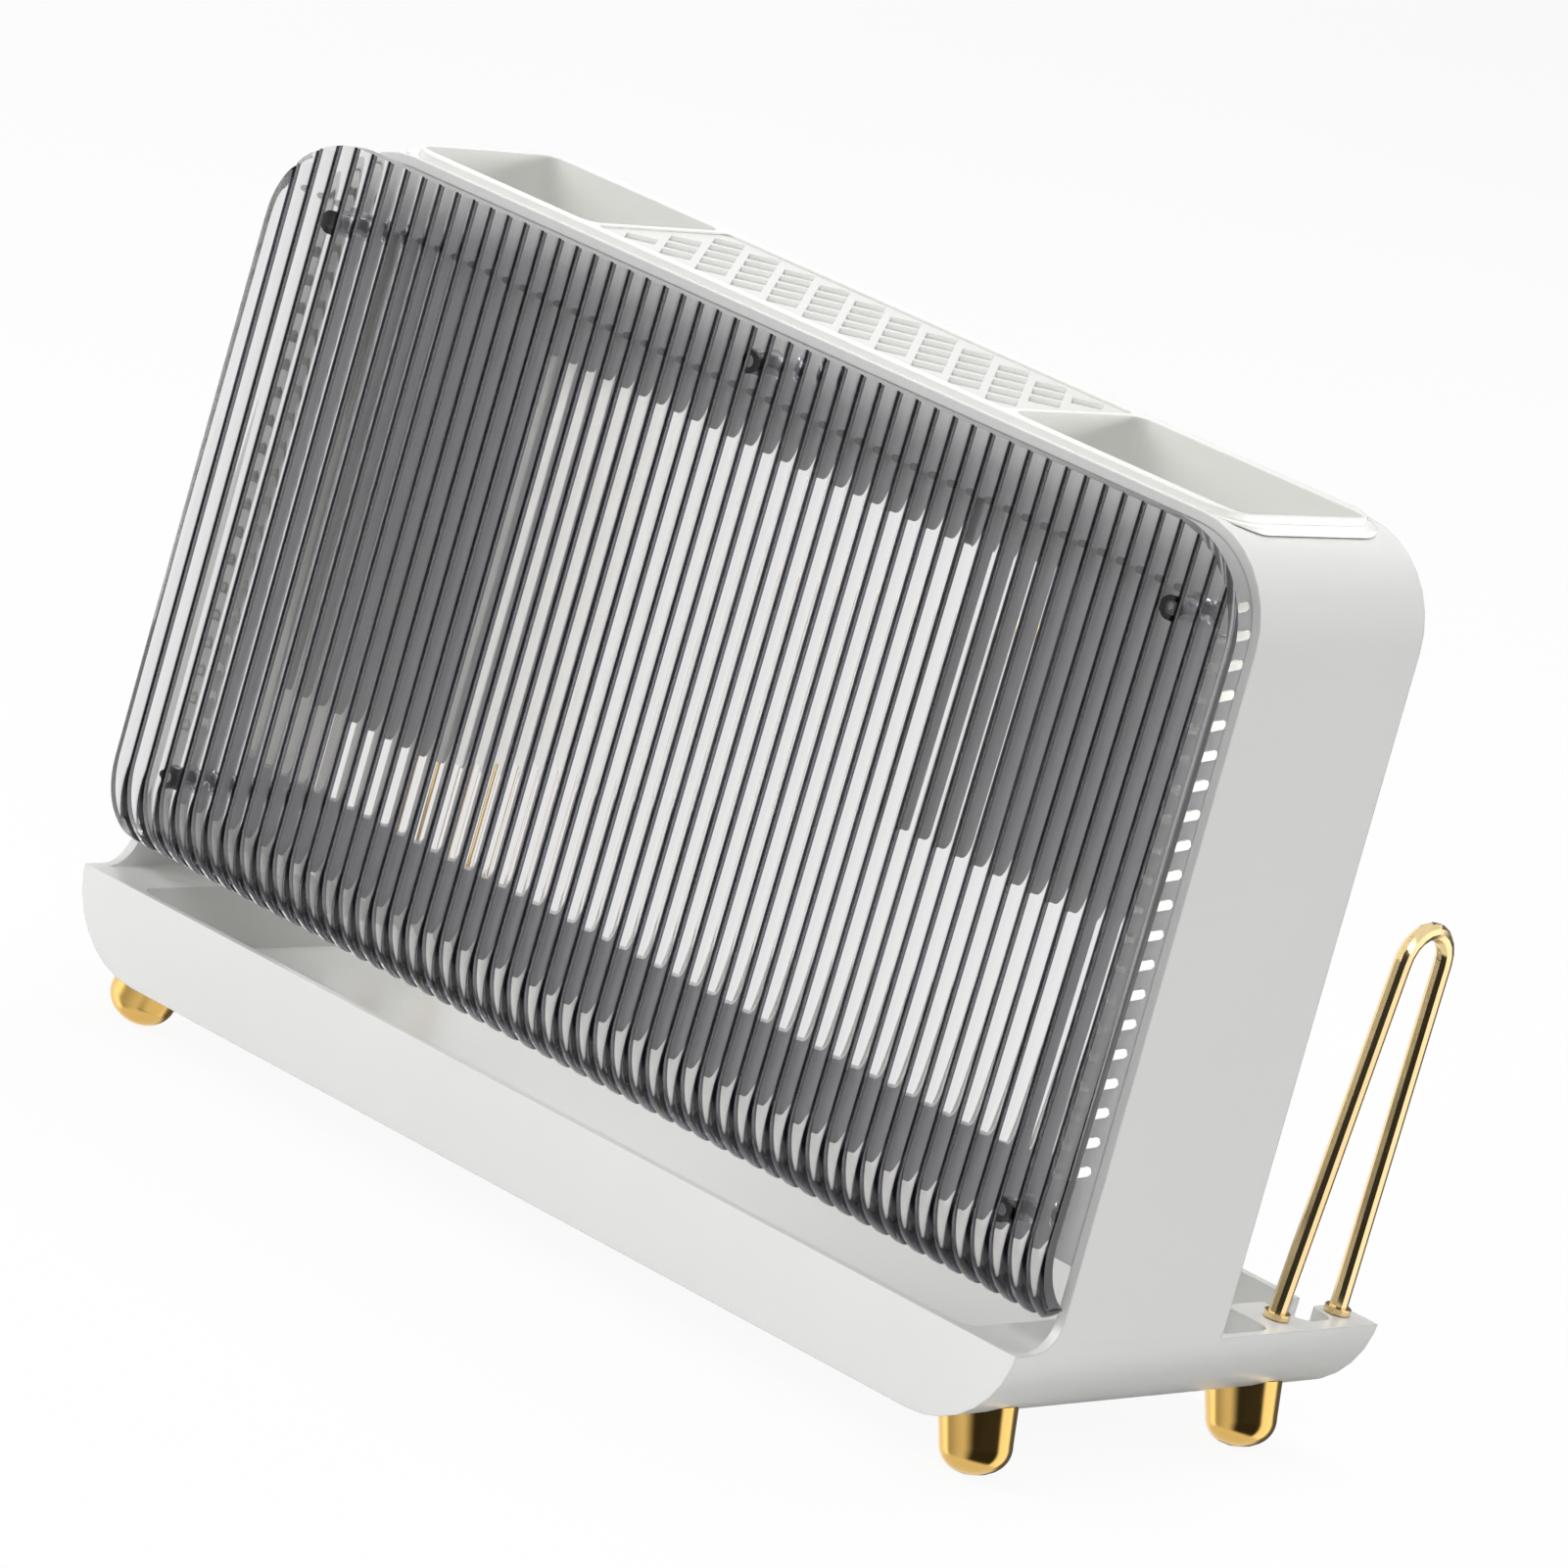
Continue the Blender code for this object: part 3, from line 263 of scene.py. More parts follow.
def ring_material():
    """Bands of glow by the angle round the ring, fading to plain light low down."""
    made, nodes, links, shader, _ = new_material("studio_ring")
    split = nodes.new("ShaderNodeSeparateXYZ")
    links.new(nodes.new("ShaderNodeTexCoord").outputs["Object"], split.inputs[0])
    turn = math_node(made.node_tree, "ARCTAN2", split.outputs["Y"], split.outputs["X"])
    turn = math_node(made.node_tree, "ADD", math_node(made.node_tree, "DIVIDE", turn, math.tau), 0.5)
    bands = nodes.new("ShaderNodeValToRGB")
    bands.color_ramp.interpolation = "EASE"
    links.new(turn, bands.inputs["Fac"])
    stops = bands.color_ramp.elements
    while len(stops) < len(RING_TONES):
        stops.new(0.5)
    for stop, (angle, tone) in zip(stops, RING_TONES):
        stop.position = angle / 360 + 0.5
        stop.color = (tone, tone, tone, 1)
    fade = nodes.new("ShaderNodeMapRange")
    fade.interpolation_type = "SMOOTHSTEP"
    links.new(split.outputs["Z"], fade.inputs["Value"])
    fade.inputs["From Min"].default_value = LOW_TONE_END
    fade.inputs["From Max"].default_value = BANDS_START
    mix = nodes.new("ShaderNodeMix")
    mix.data_type = "RGBA"
    links.new(fade.outputs["Result"], mix.inputs["Factor"])
    mix.inputs["A"].default_value = LOW_TONE
    links.new(bands.outputs["Color"], mix.inputs["B"])
    links.new(mix.outputs["Result"], shader.inputs["Emission Color"])
    shader.inputs["Emission Strength"].default_value = RING_GLOW
    shader.inputs["Base Color"].default_value = (0.01, 0.01, 0.01, 1)
    shader.inputs["Roughness"].default_value = 0.9
    return made


print("ring bands:", len(RING_TONES))

# %% The ring itself
RING_RADIUS = 0.85
RING_HEIGHT = 2.1
RING_MIDDLE_Z = -0.55
RING_STEPS = 96


def studio_ring():
    """An open ring round the holder that mirror-like rays alone can meet."""
    shape = bmesh.new()
    bmesh.ops.create_cone(
        shape,
        cap_ends=False,
        segments=RING_STEPS,
        radius1=RING_RADIUS,
        radius2=RING_RADIUS,
        depth=RING_HEIGHT,
        matrix=Matrix.Translation((0, 0, RING_MIDDLE_Z)),
    )
    mesh = bpy.data.meshes.new("studio_ring")
    shape.to_mesh(mesh)
    shape.free()
    mesh.materials.append(ring_material())
    ring = bpy.data.objects.new("studio_ring", mesh)
    scene.collection.objects.link(ring)
    ring.visible_camera = False
    ring.visible_diffuse = False
    ring.visible_transmission = False
    ring.visible_shadow = False


studio_ring()
print("ring radius m:", RING_RADIUS)

# %% [markdown]
# ## White moulded plastic
# Injection-moulded plastic is smooth but not perfect: it has a faint orange peel and its gloss varies a
# little over a hand's width.  Both come from one node group, so that each plastic can take them at its own
# strength.  A Bevel node rounds the edges in the shading alone, because no moulding has an edge that is
# truly sharp, and a rounded edge catches a thin line of light.  The knife grid gets a slightly darker
# white: painted shade, for the shade that falls between its thin ribs beside the rim.

# %% Group: moulded skin
def new_group(name, inputs, outputs):
    """A shader node group with named sockets, its input and output nodes ready."""
    group = bpy.data.node_groups.new(name, "ShaderNodeTree")
    for socket, kind, value in inputs:
        made = group.interface.new_socket(socket, in_out="INPUT", socket_type=kind)
        made.default_value = value
    for socket, kind in outputs:
        group.interface.new_socket(socket, in_out="OUTPUT", socket_type=kind)
    return group, group.nodes.new("NodeGroupInput"), group.nodes.new("NodeGroupOutput")


def noise(tree, vector, scale, detail):
    """A noise texture on the given coordinates; scale is per metre."""
    node = tree.nodes.new("ShaderNodeTexNoise")
    node.inputs["Detail"].default_value = detail
    tree.links.new(vector, node.inputs["Vector"])
    if isinstance(scale, (int, float)):
        node.inputs["Scale"].default_value = scale
    else:
        tree.links.new(scale, node.inputs["Scale"])
    return node.outputs["Fac"]


PATCHES_PER_METRE = 14.0
PEEL_PER_METRE = 900.0


def make_moulded_skin():
    """Roughness that wanders, a tone that wanders and the height of a faint orange peel."""
    group, given, out = new_group(
        "moulded_skin",
        (
            ("Roughness", "NodeSocketFloat", 0.25),
            ("Wander", "NodeSocketFloat", 0.04),
            ("Peel", "NodeSocketFloat", 0.00002),
        ),
        (("Roughness", "NodeSocketFloat"), ("Tone", "NodeSocketFloat"), ("Height", "NodeSocketFloat")),
    )
    place = group.nodes.new("ShaderNodeTexCoord").outputs["Object"]
    broad = noise(group, place, PATCHES_PER_METRE, 3.0)
    fine = noise(group, place, PEEL_PER_METRE, 1.0)
    swing = math_node(group, "MULTIPLY", math_node(group, "SUBTRACT", broad, 0.5), given.outputs["Wander"])
    group.links.new(math_node(group, "ADD", swing, given.outputs["Roughness"]), out.inputs["Roughness"])
    group.links.new(broad, out.inputs["Tone"])
    group.links.new(math_node(group, "MULTIPLY", fine, given.outputs["Peel"]), out.inputs["Height"])
    return group


MOULDED_SKIN = make_moulded_skin()
print("group:", MOULDED_SKIN.name)

# %% Materials: white plastics
PLASTIC_IOR = 1.49
EDGE_ROUNDING = 0.0005


def tone_ramp(tree, factor, low, high):
    """Two near tones, mixed by a value."""
    mix = tree.nodes.new("ShaderNodeMix")
    mix.data_type = "RGBA"
    tree.links.new(factor, mix.inputs["Factor"])
    mix.inputs["A"].default_value = (*low, 1)
    mix.inputs["B"].default_value = (*high, 1)
    return mix.outputs["Result"]


def white_plastic(name, low, high, roughness, wander):
    """Glossy white moulded plastic with a faint peel."""
    made, nodes, links, shader, _ = new_material(name)
    skin = nodes.new("ShaderNodeGroup")
    skin.node_tree = MOULDED_SKIN
    skin.inputs["Roughness"].default_value = roughness
    skin.inputs["Wander"].default_value = wander
    links.new(tone_ramp(made.node_tree, skin.outputs["Tone"], low, high), shader.inputs["Base Color"])
    links.new(skin.outputs["Roughness"], shader.inputs["Roughness"])
    edge = nodes.new("ShaderNodeBevel")
    edge.samples = 6
    edge.inputs["Radius"].default_value = EDGE_ROUNDING
    bump = nodes.new("ShaderNodeBump")
    bump.inputs["Strength"].default_value = 0.5
    bump.inputs["Distance"].default_value = 1.0
    links.new(edge.outputs["Normal"], bump.inputs["Normal"])
    links.new(skin.outputs["Height"], bump.inputs["Height"])
    links.new(bump.outputs["Normal"], shader.inputs["Normal"])
    shader.inputs["IOR"].default_value = PLASTIC_IOR
    return made


CASING_WHITE = white_plastic("casing_white", (0.79, 0.79, 0.77), (0.83, 0.83, 0.815), 0.24, 0.06)
ORGANISER_WHITE = white_plastic("organiser_white", (0.82, 0.82, 0.79), (0.86, 0.86, 0.83), 0.32, 0.06)
# The knife grid's darker white is painted shade between its thin ribs.
GRID_SHADED_WHITE = white_plastic("grid_shaded_white", (0.63, 0.63, 0.61), (0.67, 0.67, 0.65), 0.32, 0.06)
print("white plastics made")

# %% [markdown]
# ## Smoke plastic
# The cover is clear plastic with a grey-violet smoke.  Each flute is a lens, and between two flutes the
# groove looks black.  That black is painted shade: a node group measures how near a point is to a groove,
# and the tint deepens to near black there.  For rays from matt surfaces a deeper tint is used, which paints
# extra shade on the frame behind the cover.  Near the top each flute also has one small dark dot of painted
# shade on its flat rear face.

# %% Sizes of the cover
cover_low, cover_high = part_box("front_cover")
FLUTE_COUNT = 54
FLUTE_PITCH = (cover_high.x - cover_low.x) / FLUTE_COUNT
STEPS_PER_FLUTE = 12
FLUTE_RISE = 0.0009
FLUTE_POWER = 4
SHEET_BACKING = 0.0029
FACE_Y = cover_low.y
SHEET_BACK_Y = FACE_Y + FLUTE_RISE + SHEET_BACKING
TOP_Z = cover_high.z
CURL_START_Z = TOP_Z - 0.1663
CURL_RADIUS = 0.0242
CURL_ANGLE = math.radians(61)
CURL_STEPS = 20
TOP_CORNER = 0.0250
LOW_CORNER = 0.0060
CORNER_STEPS = 16
OUTLINE_MARGIN = 0.004
TOP_HALF = 0.1542
LOW_HALF = 0.1555
DOT_Z = TOP_Z - 0.0152
DOT_MARGIN = 0.001
print("flute pitch mm:", round(FLUTE_PITCH * 1000, 3), "top mm:", round(TOP_Z * 1000, 2))

# %% Group: groove shade
GROOVE_STEEPNESS = 4.0


def flute_phase(group, pitch):
    """Where a point lies across its flute, nought at the crown, and its y and z."""
    place = group.nodes.new("ShaderNodeTexCoord").outputs["Object"]
    split = group.nodes.new("ShaderNodeSeparateXYZ")
    group.links.new(place, split.inputs[0])
    phase = math_node(group, "FRACT", math_node(group, "DIVIDE", split.outputs["X"], pitch))
    return math_node(group, "SUBTRACT", phase, 0.5), split.outputs["Y"], split.outputs["Z"]


def make_groove_shade():
    """Painted shade: one at a groove between two flutes, wider down the curl, and nought over a crown."""
    group, given, out = new_group(
        "groove_shade",
        (
            ("Pitch", "NodeSocketFloat", 0.00575),
            ("Width", "NodeSocketFloat", 0.075),
            ("Curl Level", "NodeSocketFloat", 0.06),
            ("Curl Fall", "NodeSocketFloat", 0.015),
            ("Curl Gain", "NodeSocketFloat", 1.8),
        ),
        (("Mask", "NodeSocketFloat"),),
    )
    phase, _, z = flute_phase(group, given.outputs["Pitch"])
    fall = math_node(group, "SUBTRACT", given.outputs["Curl Level"], z)
    fall = math_node(group, "DIVIDE", fall, given.outputs["Curl Fall"])
    fall = math_node(group, "MINIMUM", math_node(group, "MAXIMUM", fall, 0.0), 1.0)
    gain = math_node(group, "ADD", math_node(group, "MULTIPLY", fall, given.outputs["Curl Gain"]), 1.0)
    edge = math_node(group, "SUBTRACT", 0.5, math_node(group, "ABSOLUTE", phase))
    share = math_node(group, "DIVIDE", edge, math_node(group, "MULTIPLY", gain, given.outputs["Width"]))
    near = math_node(group, "SUBTRACT", 1.0, math_node(group, "MINIMUM", share, 1.0))
    steep = math_node(group, "MINIMUM", math_node(group, "MULTIPLY", near, GROOVE_STEEPNESS), 1.0)
    group.links.new(steep, out.inputs["Mask"])
    return group


GROOVE_SHADE = make_groove_shade()
print("group:", GROOVE_SHADE.name)

# %% Group: flute shade dots
DOT_STEEPNESS = 2.0


def make_flute_shade_dots():
    """Painted shade: one inside a small round dot in the middle of each flute, on the rear face."""
    group, given, out = new_group(
        "flute_shade_dots",
        (
            ("Pitch", "NodeSocketFloat", 0.00575),
            ("Level", "NodeSocketFloat", 0.21),
            ("Behind", "NodeSocketFloat", 0.0),
            ("Radius", "NodeSocketFloat", 0.0011),
        ),
        (("Mask", "NodeSocketFloat"),),
    )
    phase, y, z = flute_phase(group, given.outputs["Pitch"])
    radius = given.outputs["Radius"]
    across = math_node(group, "DIVIDE", math_node(group, "MULTIPLY", phase, given.outputs["Pitch"]), radius)
    rise = math_node(group, "SUBTRACT", z, given.outputs["Level"])
    along = math_node(group, "DIVIDE", rise, radius)
    across = math_node(group, "MULTIPLY", across, across)
    along = math_node(group, "MULTIPLY", along, along)
    far = math_node(group, "ADD", across, along)
    inside = math_node(group, "MAXIMUM", math_node(group, "SUBTRACT", 1.0, far), 0.0)
    rear = math_node(group, "GREATER_THAN", y, given.outputs["Behind"])
    full = math_node(group, "MINIMUM", math_node(group, "MULTIPLY", inside, DOT_STEEPNESS), 1.0)
    group.links.new(math_node(group, "MULTIPLY", full, rear), out.inputs["Mask"])
    return group


FLUTE_SHADE_DOTS = make_flute_shade_dots()
print("group:", FLUTE_SHADE_DOTS.name)

# %% Materials: smoke plastic and its cut edge
CLEAR_TINT = (0.82, 0.81, 0.815)
# The next tint is painted shade, near black, for the grooves and the dots.
GROOVE_SHADE_TINT = (0.003, 0.003, 0.005)
# A deeper tint for rays from matt surfaces: painted shade on the frame behind the cover.
SHADE_TINT = (0.30, 0.295, 0.32, 1)
DOT_SHARE = 0.8
SMOKE_GLOSS = 0.25


def smoke_plastic():
    """Clear smoke-tinted plastic with painted shade in its grooves and dots and on the frame behind it."""
    made, nodes, links, shader, _ = new_material("cover_smoke")
    groove = nodes.new("ShaderNodeGroup")
    groove.node_tree = GROOVE_SHADE
    groove.inputs["Pitch"].default_value = FLUTE_PITCH
    groove.inputs["Curl Level"].default_value = CURL_START_Z
    dots = nodes.new("ShaderNodeGroup")
    dots.node_tree = FLUTE_SHADE_DOTS
    dots.inputs["Pitch"].default_value = FLUTE_PITCH
    dots.inputs["Level"].default_value = DOT_Z
    dots.inputs["Behind"].default_value = SHEET_BACK_Y - DOT_MARGIN
    # Painted shade dots near the top of each flute.
    soft_shade_dots = math_node(made.node_tree, "MULTIPLY", dots.outputs["Mask"], DOT_SHARE)
    # The mask of painted shade: grooves and dots together.
    painted_shade = math_node(made.node_tree, "MAXIMUM", groove.outputs["Mask"], soft_shade_dots)
    tone = tone_ramp(made.node_tree, painted_shade, CLEAR_TINT, GROOVE_SHADE_TINT)
    # Rays from matt surfaces get the painted shade tint.
    path = nodes.new("ShaderNodeLightPath")
    inward = math_node(made.node_tree, "GREATER_THAN", path.outputs["Diffuse Depth"], 0.5)
    shade = nodes.new("ShaderNodeMix")
    shade.data_type = "RGBA"
    links.new(inward, shade.inputs["Factor"])
    links.new(tone, shade.inputs["A"])
    shade.inputs["B"].default_value = SHADE_TINT
    links.new(shade.outputs["Result"], shader.inputs["Base Color"])
    shader.inputs["Transmission Weight"].default_value = 1.0
    shader.inputs["Roughness"].default_value = 0.03
    shader.inputs["IOR"].default_value = PLASTIC_IOR
    shader.inputs["Specular IOR Level"].default_value = SMOKE_GLOSS
    return made


def deep_smoke(name, colour, transmission, roughness):
    """Smoke plastic of one plain tint: a long path's deep tint at the cut edge, painted shade at the posts'
    roots.
    """
    made, _, _, shader, _ = new_material(name)
    shader.inputs["Base Color"].default_value = (*colour, 1)
    shader.inputs["Transmission Weight"].default_value = transmission
    shader.inputs["Roughness"].default_value = roughness
    shader.inputs["IOR"].default_value = PLASTIC_IOR
    shader.inputs["Specular IOR Level"].default_value = SMOKE_GLOSS
    return made


COVER_SMOKE = smoke_plastic()
EDGE_SMOKE = deep_smoke("edge_smoke", (0.10, 0.10, 0.11), 1.0, 0.12)
POST_SMOKE = deep_smoke("post_smoke", (0.62, 0.62, 0.65), 1.0, 0.06)
# The roots' near-black tint is painted shade, the dark ring at each post's base.
ROOT_SHADE_SMOKE = deep_smoke("root_painted_shade", (0.010, 0.010, 0.014), 0.5, 0.12)
print("smoke plastics made")

# %% [markdown]
# ## Metals
# The feet and the wire loops are plated in gold and polished.  A mirror finish
# is never quite even, so faint smudges raise the roughness here and there.
# The screws are dark zinc.

# %% Group: smudges
def make_smudges():
    """Roughness of a polished surface with soft smudges."""
    group, given, out = new_group(
        "smudges",
        (
            ("Polish", "NodeSocketFloat", 0.08),
            ("Smudge", "NodeSocketFloat", 0.10),
            ("Scale", "NodeSocketFloat", 90.0),
        ),
        (("Roughness", "NodeSocketFloat"), ("Mask", "NodeSocketFloat")),
    )
    place = group.nodes.new("ShaderNodeTexCoord").outputs["Object"]
    patch = noise(group, place, given.outputs["Scale"], 3.0)
    high = math_node(group, "MAXIMUM", math_node(group, "SUBTRACT", patch, 0.5), 0.0)
    extra = math_node(group, "MULTIPLY", high, given.outputs["Smudge"])
    group.links.new(math_node(group, "ADD", extra, given.outputs["Polish"]), out.inputs["Roughness"])
    group.links.new(patch, out.inputs["Mask"])
    return group


SMUDGES = make_smudges()
print("group:", SMUDGES.name)

# %% Materials: metals
def metal(name, low, high, polish, smudge):
    """A metal whose tone and polish wander a little."""
    made, nodes, links, shader, _ = new_material(name)
    marks = nodes.new("ShaderNodeGroup")
    marks.node_tree = SMUDGES
    marks.inputs["Polish"].default_value = polish
    marks.inputs["Smudge"].default_value = smudge
    links.new(marks.outputs["Roughness"], shader.inputs["Roughness"])
    links.new(tone_ramp(made.node_tree, marks.outputs["Mask"], low, high), shader.inputs["Base Color"])
    shader.inputs["Metallic"].default_value = 1.0
    return made


GOLD = metal("gold", (0.66, 0.41, 0.11), (0.72, 0.47, 0.15), 0.12, 0.16)
GOLD_WIRE = metal("gold_wire", (0.74, 0.56, 0.28), (0.80, 0.62, 0.34), 0.14, 0.20)
SCREW_STEEL = metal("screw_steel", (0.28, 0.28, 0.30), (0.36, 0.36, 0.38), 0.28, 0.2)
print("metals made")

# %% [markdown]
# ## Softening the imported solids
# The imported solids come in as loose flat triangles.  Welding them and telling
# Blender which edges are sharp lets curved walls shade smoothly while flat
# walls stay flat.  Modifiers do that without touching the mesh itself.

# %% Soften
SHARP_ANGLE = math.radians(32)
WELD_DISTANCE = 0.00001


def soften_group(angle):
    """Geometry nodes: weld, drop the stored normals, shade smooth below an angle."""
    group = bpy.data.node_groups.new("soften", "GeometryNodeTree")
    group.interface.new_socket("Geometry", in_out="INPUT", socket_type="NodeSocketGeometry")
    group.interface.new_socket("Geometry", in_out="OUTPUT", socket_type="NodeSocketGeometry")
    nodes, links = group.nodes, group.links
    given, out = nodes.new("NodeGroupInput"), nodes.new("NodeGroupOutput")
    drop = nodes.new("GeometryNodeRemoveAttribute")
    drop.inputs["Name"].default_value = "custom_normal"
    weld = nodes.new("GeometryNodeMergeByDistance")
    weld.inputs["Distance"].default_value = WELD_DISTANCE
    smooth = nodes.new("GeometryNodeSetShadeSmooth")
    turn = nodes.new("GeometryNodeInputMeshEdgeAngle")
    below = nodes.new("FunctionNodeCompare")
    below.operation = "LESS_THAN"
    below.inputs["B"].default_value = angle
    crease = nodes.new("GeometryNodeSetShadeSmooth")
    crease.domain = "EDGE"
    links.new(given.outputs[0], drop.inputs["Geometry"])
    links.new(drop.outputs["Geometry"], weld.inputs["Geometry"])
    links.new(weld.outputs["Geometry"], smooth.inputs["Geometry"])
    links.new(smooth.outputs["Geometry"], crease.inputs["Geometry"])
    links.new(turn.outputs["Unsigned Angle"], below.inputs["A"])
    links.new(below.outputs["Result"], crease.inputs["Shade Smooth"])
    links.new(crease.outputs["Geometry"], out.inputs[0])
    return group


SOFTEN = soften_group(SHARP_ANGLE)


def soften(item, weighted=True):
    """Weld an object and give it smooth curves and, where weighted, flat flats."""
    step = item.modifiers.new("soften", "NODES")
    step.node_group = SOFTEN
    if not weighted:
        return
    weigh = item.modifiers.new("weigh", "WEIGHTED_NORMAL")
    weigh.keep_sharp = True
    weigh.weight = 50


print("group:", SOFTEN.name)

# %% [markdown]
# ## The fluted cover
# Light bends at every flute, so facets that are fine on a white wall show up at
# once in clear plastic.  The cover is therefore made again with twelve facets to
# a flute: one section is drawn across all flutes, pulled up the flat and spun
# round the curl, and the rounded outline is then cut from it.  The flutes are
# nearly flat along their middle and fall steeply to the grooves, because the
# posts behind them look whole in the photograph.

# %% Section of the sheet
def flute_section():
    """Plan points of the sheet: convex flutes in front and flat behind."""
    points = []
    for flute in range(FLUTE_COUNT):
        for step in range(STEPS_PER_FLUTE):
            share = step / STEPS_PER_FLUTE
            fall = FLUTE_RISE * abs(2 * share - 1) ** FLUTE_POWER
            points.append((cover_low.x + (flute + share) * FLUTE_PITCH, FACE_Y + fall))
    points.append((cover_high.x, FACE_Y + FLUTE_RISE))
    points.append((cover_high.x, SHEET_BACK_Y))
    points.append((cover_low.x, SHEET_BACK_Y))
    return points


print("section points:", len(flute_section()))

# %% The sheet
def to_object(name, shape):
    """Put a bmesh into a new object of the scene."""
    mesh = bpy.data.meshes.new(name)
    shape.to_mesh(mesh)
    shape.free()
    item = bpy.data.objects.new(name, mesh)
    scene.collection.objects.link(item)
    return item


def swept_sheet():
    """The section pulled up to the top edge and spun round the curl."""
    shape = bmesh.new()
    ring = [shape.verts.new((x, y, CURL_START_Z)) for x, y in flute_section()]
    start = [shape.edges.new((ring[index - 1], ring[index])) for index in range(len(ring))]
    rise = bmesh.ops.extrude_edge_only(shape, edges=start)["geom"]
    lifted = [item for item in rise if isinstance(item, bmesh.types.BMVert)]
    bmesh.ops.translate(shape, verts=lifted, vec=(0, 0, TOP_Z - CURL_START_Z))
    bmesh.ops.spin(
        shape,
        geom=start,
        cent=(0, FACE_Y + CURL_RADIUS, CURL_START_Z),
        axis=(1, 0, 0),
        angle=CURL_ANGLE,
        steps=CURL_STEPS,
    )
    ends = [edge for edge in shape.edges if edge.is_boundary]
    for cap in bmesh.ops.holes_fill(shape, edges=ends, sides=0)["faces"]:
        cap.material_index = 1
    bmesh.ops.recalc_face_normals(shape, faces=shape.faces)
    return to_object("cover_sheet", shape)


sheet = swept_sheet()
print("sheet points:", len(sheet.data.vertices))

# %% The block with its outline
def outline_block():
    """A block with the cover's rounded outline, deep enough to hold the sheet."""
    low = CURL_START_Z - CURL_RADIUS * math.sin(CURL_ANGLE)
    corners = (
        (-LOW_HALF + LOW_CORNER, low + LOW_CORNER, LOW_CORNER, 180),
        (LOW_HALF - LOW_CORNER, low + LOW_CORNER, LOW_CORNER, 270),
        (TOP_HALF - TOP_CORNER, TOP_Z - TOP_CORNER, TOP_CORNER, 0),
        (-TOP_HALF + TOP_CORNER, TOP_Z - TOP_CORNER, TOP_CORNER, 90),
    )
    shape = bmesh.new()
    ring = []
    for x, z, radius, first in corners:
        for step in range(CORNER_STEPS + 1):
            angle = math.radians(first + 90 * step / CORNER_STEPS)
            spot = (x + radius * math.cos(angle), FACE_Y - OUTLINE_MARGIN, z + radius * math.sin(angle))
            ring.append(shape.verts.new(spot))
    face = shape.faces.new(ring)
    pushed = bmesh.ops.extrude_face_region(shape, geom=[face])["geom"]
    far = [item for item in pushed if isinstance(item, bmesh.types.BMVert)]
    bmesh.ops.translate(shape, verts=far, vec=(0, CURL_RADIUS + 2 * OUTLINE_MARGIN, 0))
    bmesh.ops.recalc_face_normals(shape, faces=shape.faces)
    for side in shape.faces:
        side.material_index = 1
    return to_object("cover_outline", shape)


block = outline_block()
print("outline faces:", len(block.data.polygons))

# %% Cut the outline
def boolean_with(item, tool, operation):
    """Combine two solids for good and throw the tool away."""
    step = item.modifiers.new("cut", "BOOLEAN")
    step.operation = operation
    step.object = tool
    graph = bpy.context.evaluated_depsgraph_get()
    mesh = bpy.data.meshes.new_from_object(item.evaluated_get(graph))
    item.modifiers.clear()
    item.data = mesh
    bpy.data.objects.remove(tool, do_unlink=True)


for solid in (sheet, block):
    solid.data.materials.append(COVER_SMOKE)
    solid.data.materials.append(EDGE_SMOKE)
boolean_with(sheet, block, "INTERSECT")
soften(sheet)
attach(sheet, "holder")
print("sheet faces:", len(sheet.data.polygons), "slots:", [slot.name for slot in sheet.data.materials])

# %% [markdown]
# ## Posts of the cover
# Five hollow posts stand behind the sheet.  The photograph shows each as a dark ring, and nothing of its
# length.  They are turned rings of the same clear smoke plastic, and only the root, where post and sheet
# run together, has a near-black tint: painted shade that makes the dark ring.

# %% Sizes of the posts
HIGH_POST_X = 0.1352
HIGH_POST_Z = TOP_Z - 0.0202
MIDDLE_POST_Z = TOP_Z - 0.0086
LOW_POST_X = 0.1385
LOW_POST_Z = CURL_START_Z + 0.0010
POSTS = {
    "top_left": (-HIGH_POST_X, HIGH_POST_Z),
    "top_middle": (0.0, MIDDLE_POST_Z),
    "top_right": (HIGH_POST_X, HIGH_POST_Z),
    "low_left": (-LOW_POST_X, LOW_POST_Z),
    "low_right": (LOW_POST_X, LOW_POST_Z),
}
POST_RADIUS = 0.0030
POST_BORE = 0.0016
POST_STEPS = 28
POST_LENGTH = cover_high.y - SHEET_BACK_Y
ROOT_LENGTH = 0.0010
print("posts:", len(POSTS), "of", round(POST_LENGTH * 1000, 2), "mm")

# %% Turn the posts
def ring_solid(name, profile, steps, home):
    """Turn a closed profile of (radius, height) points about Z, then take it home."""
    shape = bmesh.new()
    rings = []
    for step in range(steps):
        angle = math.tau * step / steps
        ring = []
        for radius, height in profile:
            spot = Vector((radius * math.cos(angle), radius * math.sin(angle), height))
            ring.append(shape.verts.new(home @ spot))
        rings.append(ring)
    count = len(profile)
    for step in range(steps):
        here, there = rings[step], rings[(step + 1) % steps]
        for index in range(count):
            after = (index + 1) % count
            shape.faces.new((here[index], here[after], there[after], there[index]))
    bmesh.ops.remove_doubles(shape, verts=shape.verts, dist=0.000001)
    bmesh.ops.recalc_face_normals(shape, faces=shape.faces)
    return to_object(name, shape)


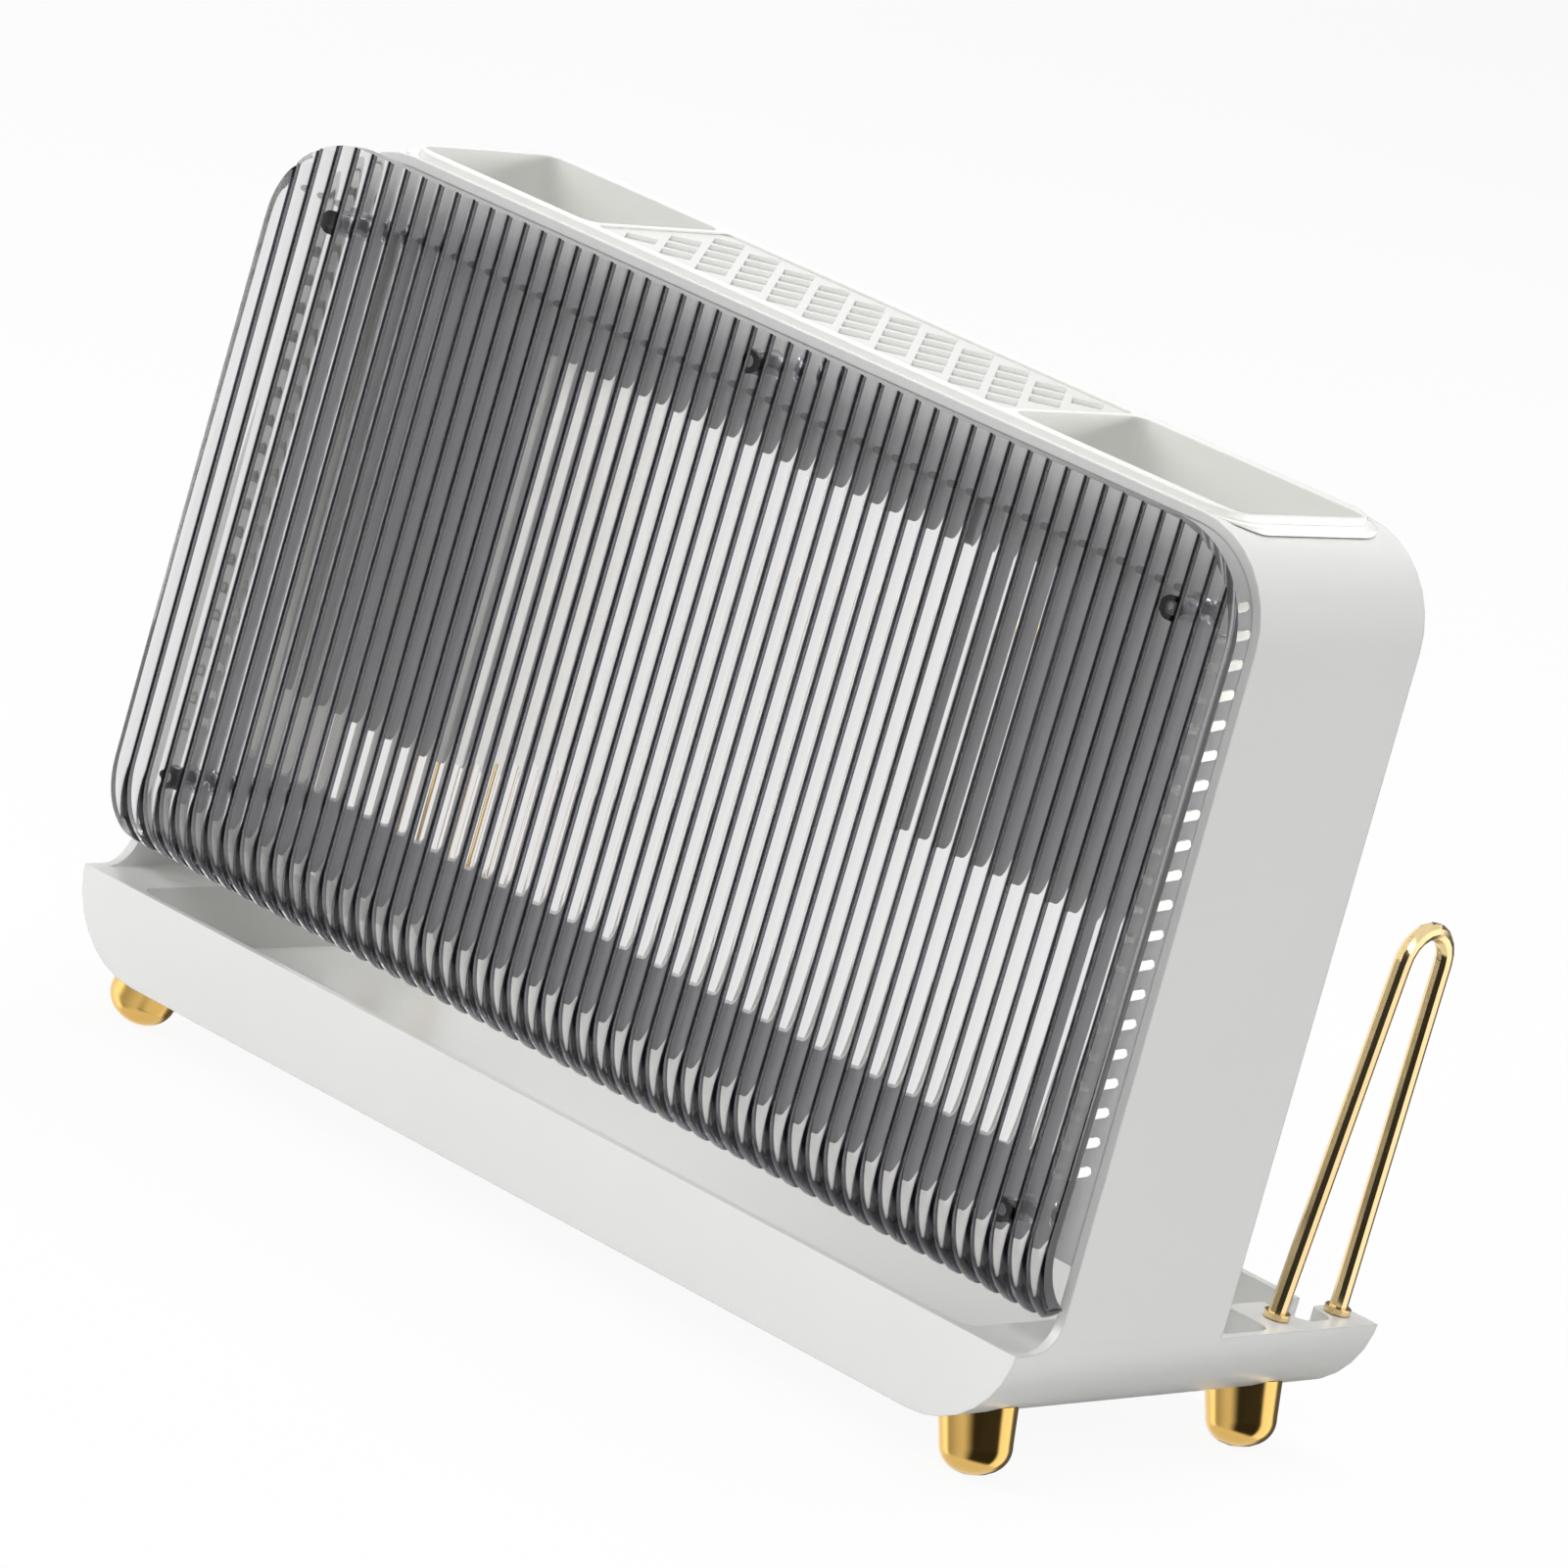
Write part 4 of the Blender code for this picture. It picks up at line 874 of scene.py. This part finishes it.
LIE_BACK = Matrix.Rotation(math.pi / 2, 4, "X")
for label, (x, z) in POSTS.items():
    home = Matrix.Translation((x, SHEET_BACK_Y, z)) @ LIE_BACK
    for kind, start, end, finish in (
        ("root", 0, ROOT_LENGTH, ROOT_SHADE_SMOKE),
        ("post", ROOT_LENGTH, POST_LENGTH, POST_SMOKE),
    ):
        profile = ((POST_BORE, -start), (POST_RADIUS, -start), (POST_RADIUS, -end), (POST_BORE, -end))
        ring = ring_solid("cover_" + kind + "_" + label, profile, POST_STEPS, home)
        ring.data.materials.append(finish)
        soften(ring)
        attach(ring, "holder")
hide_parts("front_cover")
print("post rings made:", 2 * len(POSTS))

# %% [markdown]
# ## Gold feet
# Each foot is a dome that stands square to the casing's rounded bottom corner,
# so it leans outwards, and its lowest point is ground flat where it meets the
# counter.  Polished metal shows every facet, so the domes are turned again with
# many more steps.  Their upper ends are buried in the casing.

# %% Sizes of the feet
FOOT_TILT = math.radians(16.4)
FOOT_REACH = 0.0400
BOW_X = 0.13083
BOW_Z = 0.0388
FOOT_ROWS = {"front": -0.0539, "rear": 0.0502}
DOME_TOP = 0.0168
DOME_TOP_RADIUS = 0.0095
DOME_ROUND = 0.0074
DOME_RADIUS = 0.0087
DOME_POWER = 2.2
DOME_STEPS = 18
DOME_TURNS = 64
WELL_RADIUS = 0.0029
WELL_MOUTH = 0.00031
WELL_TOP = 0.0094
BORE_RADIUS = 0.0016
print("feet lean by", round(math.degrees(FOOT_TILT), 1), "degrees")

# %% Section of a dome
def dome_profile(steps):
    """Points of half a dome's section, from its upper end down to the screw's well."""
    points = [(DOME_TOP_RADIUS, DOME_TOP)]
    for step in range(steps + 1):
        share = 1 - (step / steps) ** 2 * (1 - WELL_MOUTH / DOME_ROUND)
        reach = (1 - (1 - share) ** DOME_POWER) ** (1 / DOME_POWER)
        points.append((DOME_RADIUS * reach, DOME_ROUND * share))
    points.extend(((WELL_RADIUS, WELL_MOUTH), (WELL_RADIUS, WELL_TOP)))
    points.extend(((BORE_RADIUS, WELL_TOP), (BORE_RADIUS, DOME_TOP)))
    return points


FOOT_PROFILE = dome_profile(DOME_STEPS)
print("profile points:", len(FOOT_PROFILE))

# %% Turn the feet and grind them flat
def ground_block():
    """A block whose top is the counter, to grind the feet flat."""
    shape = bmesh.new()
    bmesh.ops.create_cube(shape, size=1.0, matrix=Matrix.Translation((0, 0, -0.5)))
    return to_object("ground_block", shape)


for row, y in FOOT_ROWS.items():
    for side, hand in ((-1, "left"), (1, "right")):
        lean = Matrix.Rotation(-side * FOOT_TILT, 4, "Y")
        home = Matrix.Translation((side * BOW_X, y, BOW_Z)) @ lean @ Matrix.Translation((0, 0, -FOOT_REACH))
        place = row + "_" + hand
        foot = ring_solid("dome_" + place, FOOT_PROFILE, DOME_TURNS, home)
        boolean_with(foot, ground_block(), "DIFFERENCE")
        foot.data.materials.clear()
        foot.data.materials.append(GOLD)
        soften(foot, weighted=False)
        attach(foot, "holder")
        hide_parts("foot_" + place)
print("feet:", 2 * len(FOOT_ROWS))

# %% [markdown]
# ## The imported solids
# The casing, the organiser, the knife grid, the wire loops and the screws keep
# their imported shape, because it is fine enough there.  They take their finish and
# the softening above.  The pieces that were made again are hidden by their
# replacements, and still get a finish of their own.

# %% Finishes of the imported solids
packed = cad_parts
FINISH = {
    "casing": CASING_WHITE,
    "organiser": ORGANISER_WHITE,
    "knife_grid": GRID_SHADED_WHITE,
    "front_cover": COVER_SMOKE,
}
for name, item in packed.items():
    finish = FINISH.get(name)
    if finish is None:
        finish = SCREW_STEEL if "screw" in name else GOLD_WIRE if "wire" in name else GOLD
    item.data.materials.clear()
    item.data.materials.append(finish)
    soften(item)
print("softened", len(packed), "nodes")
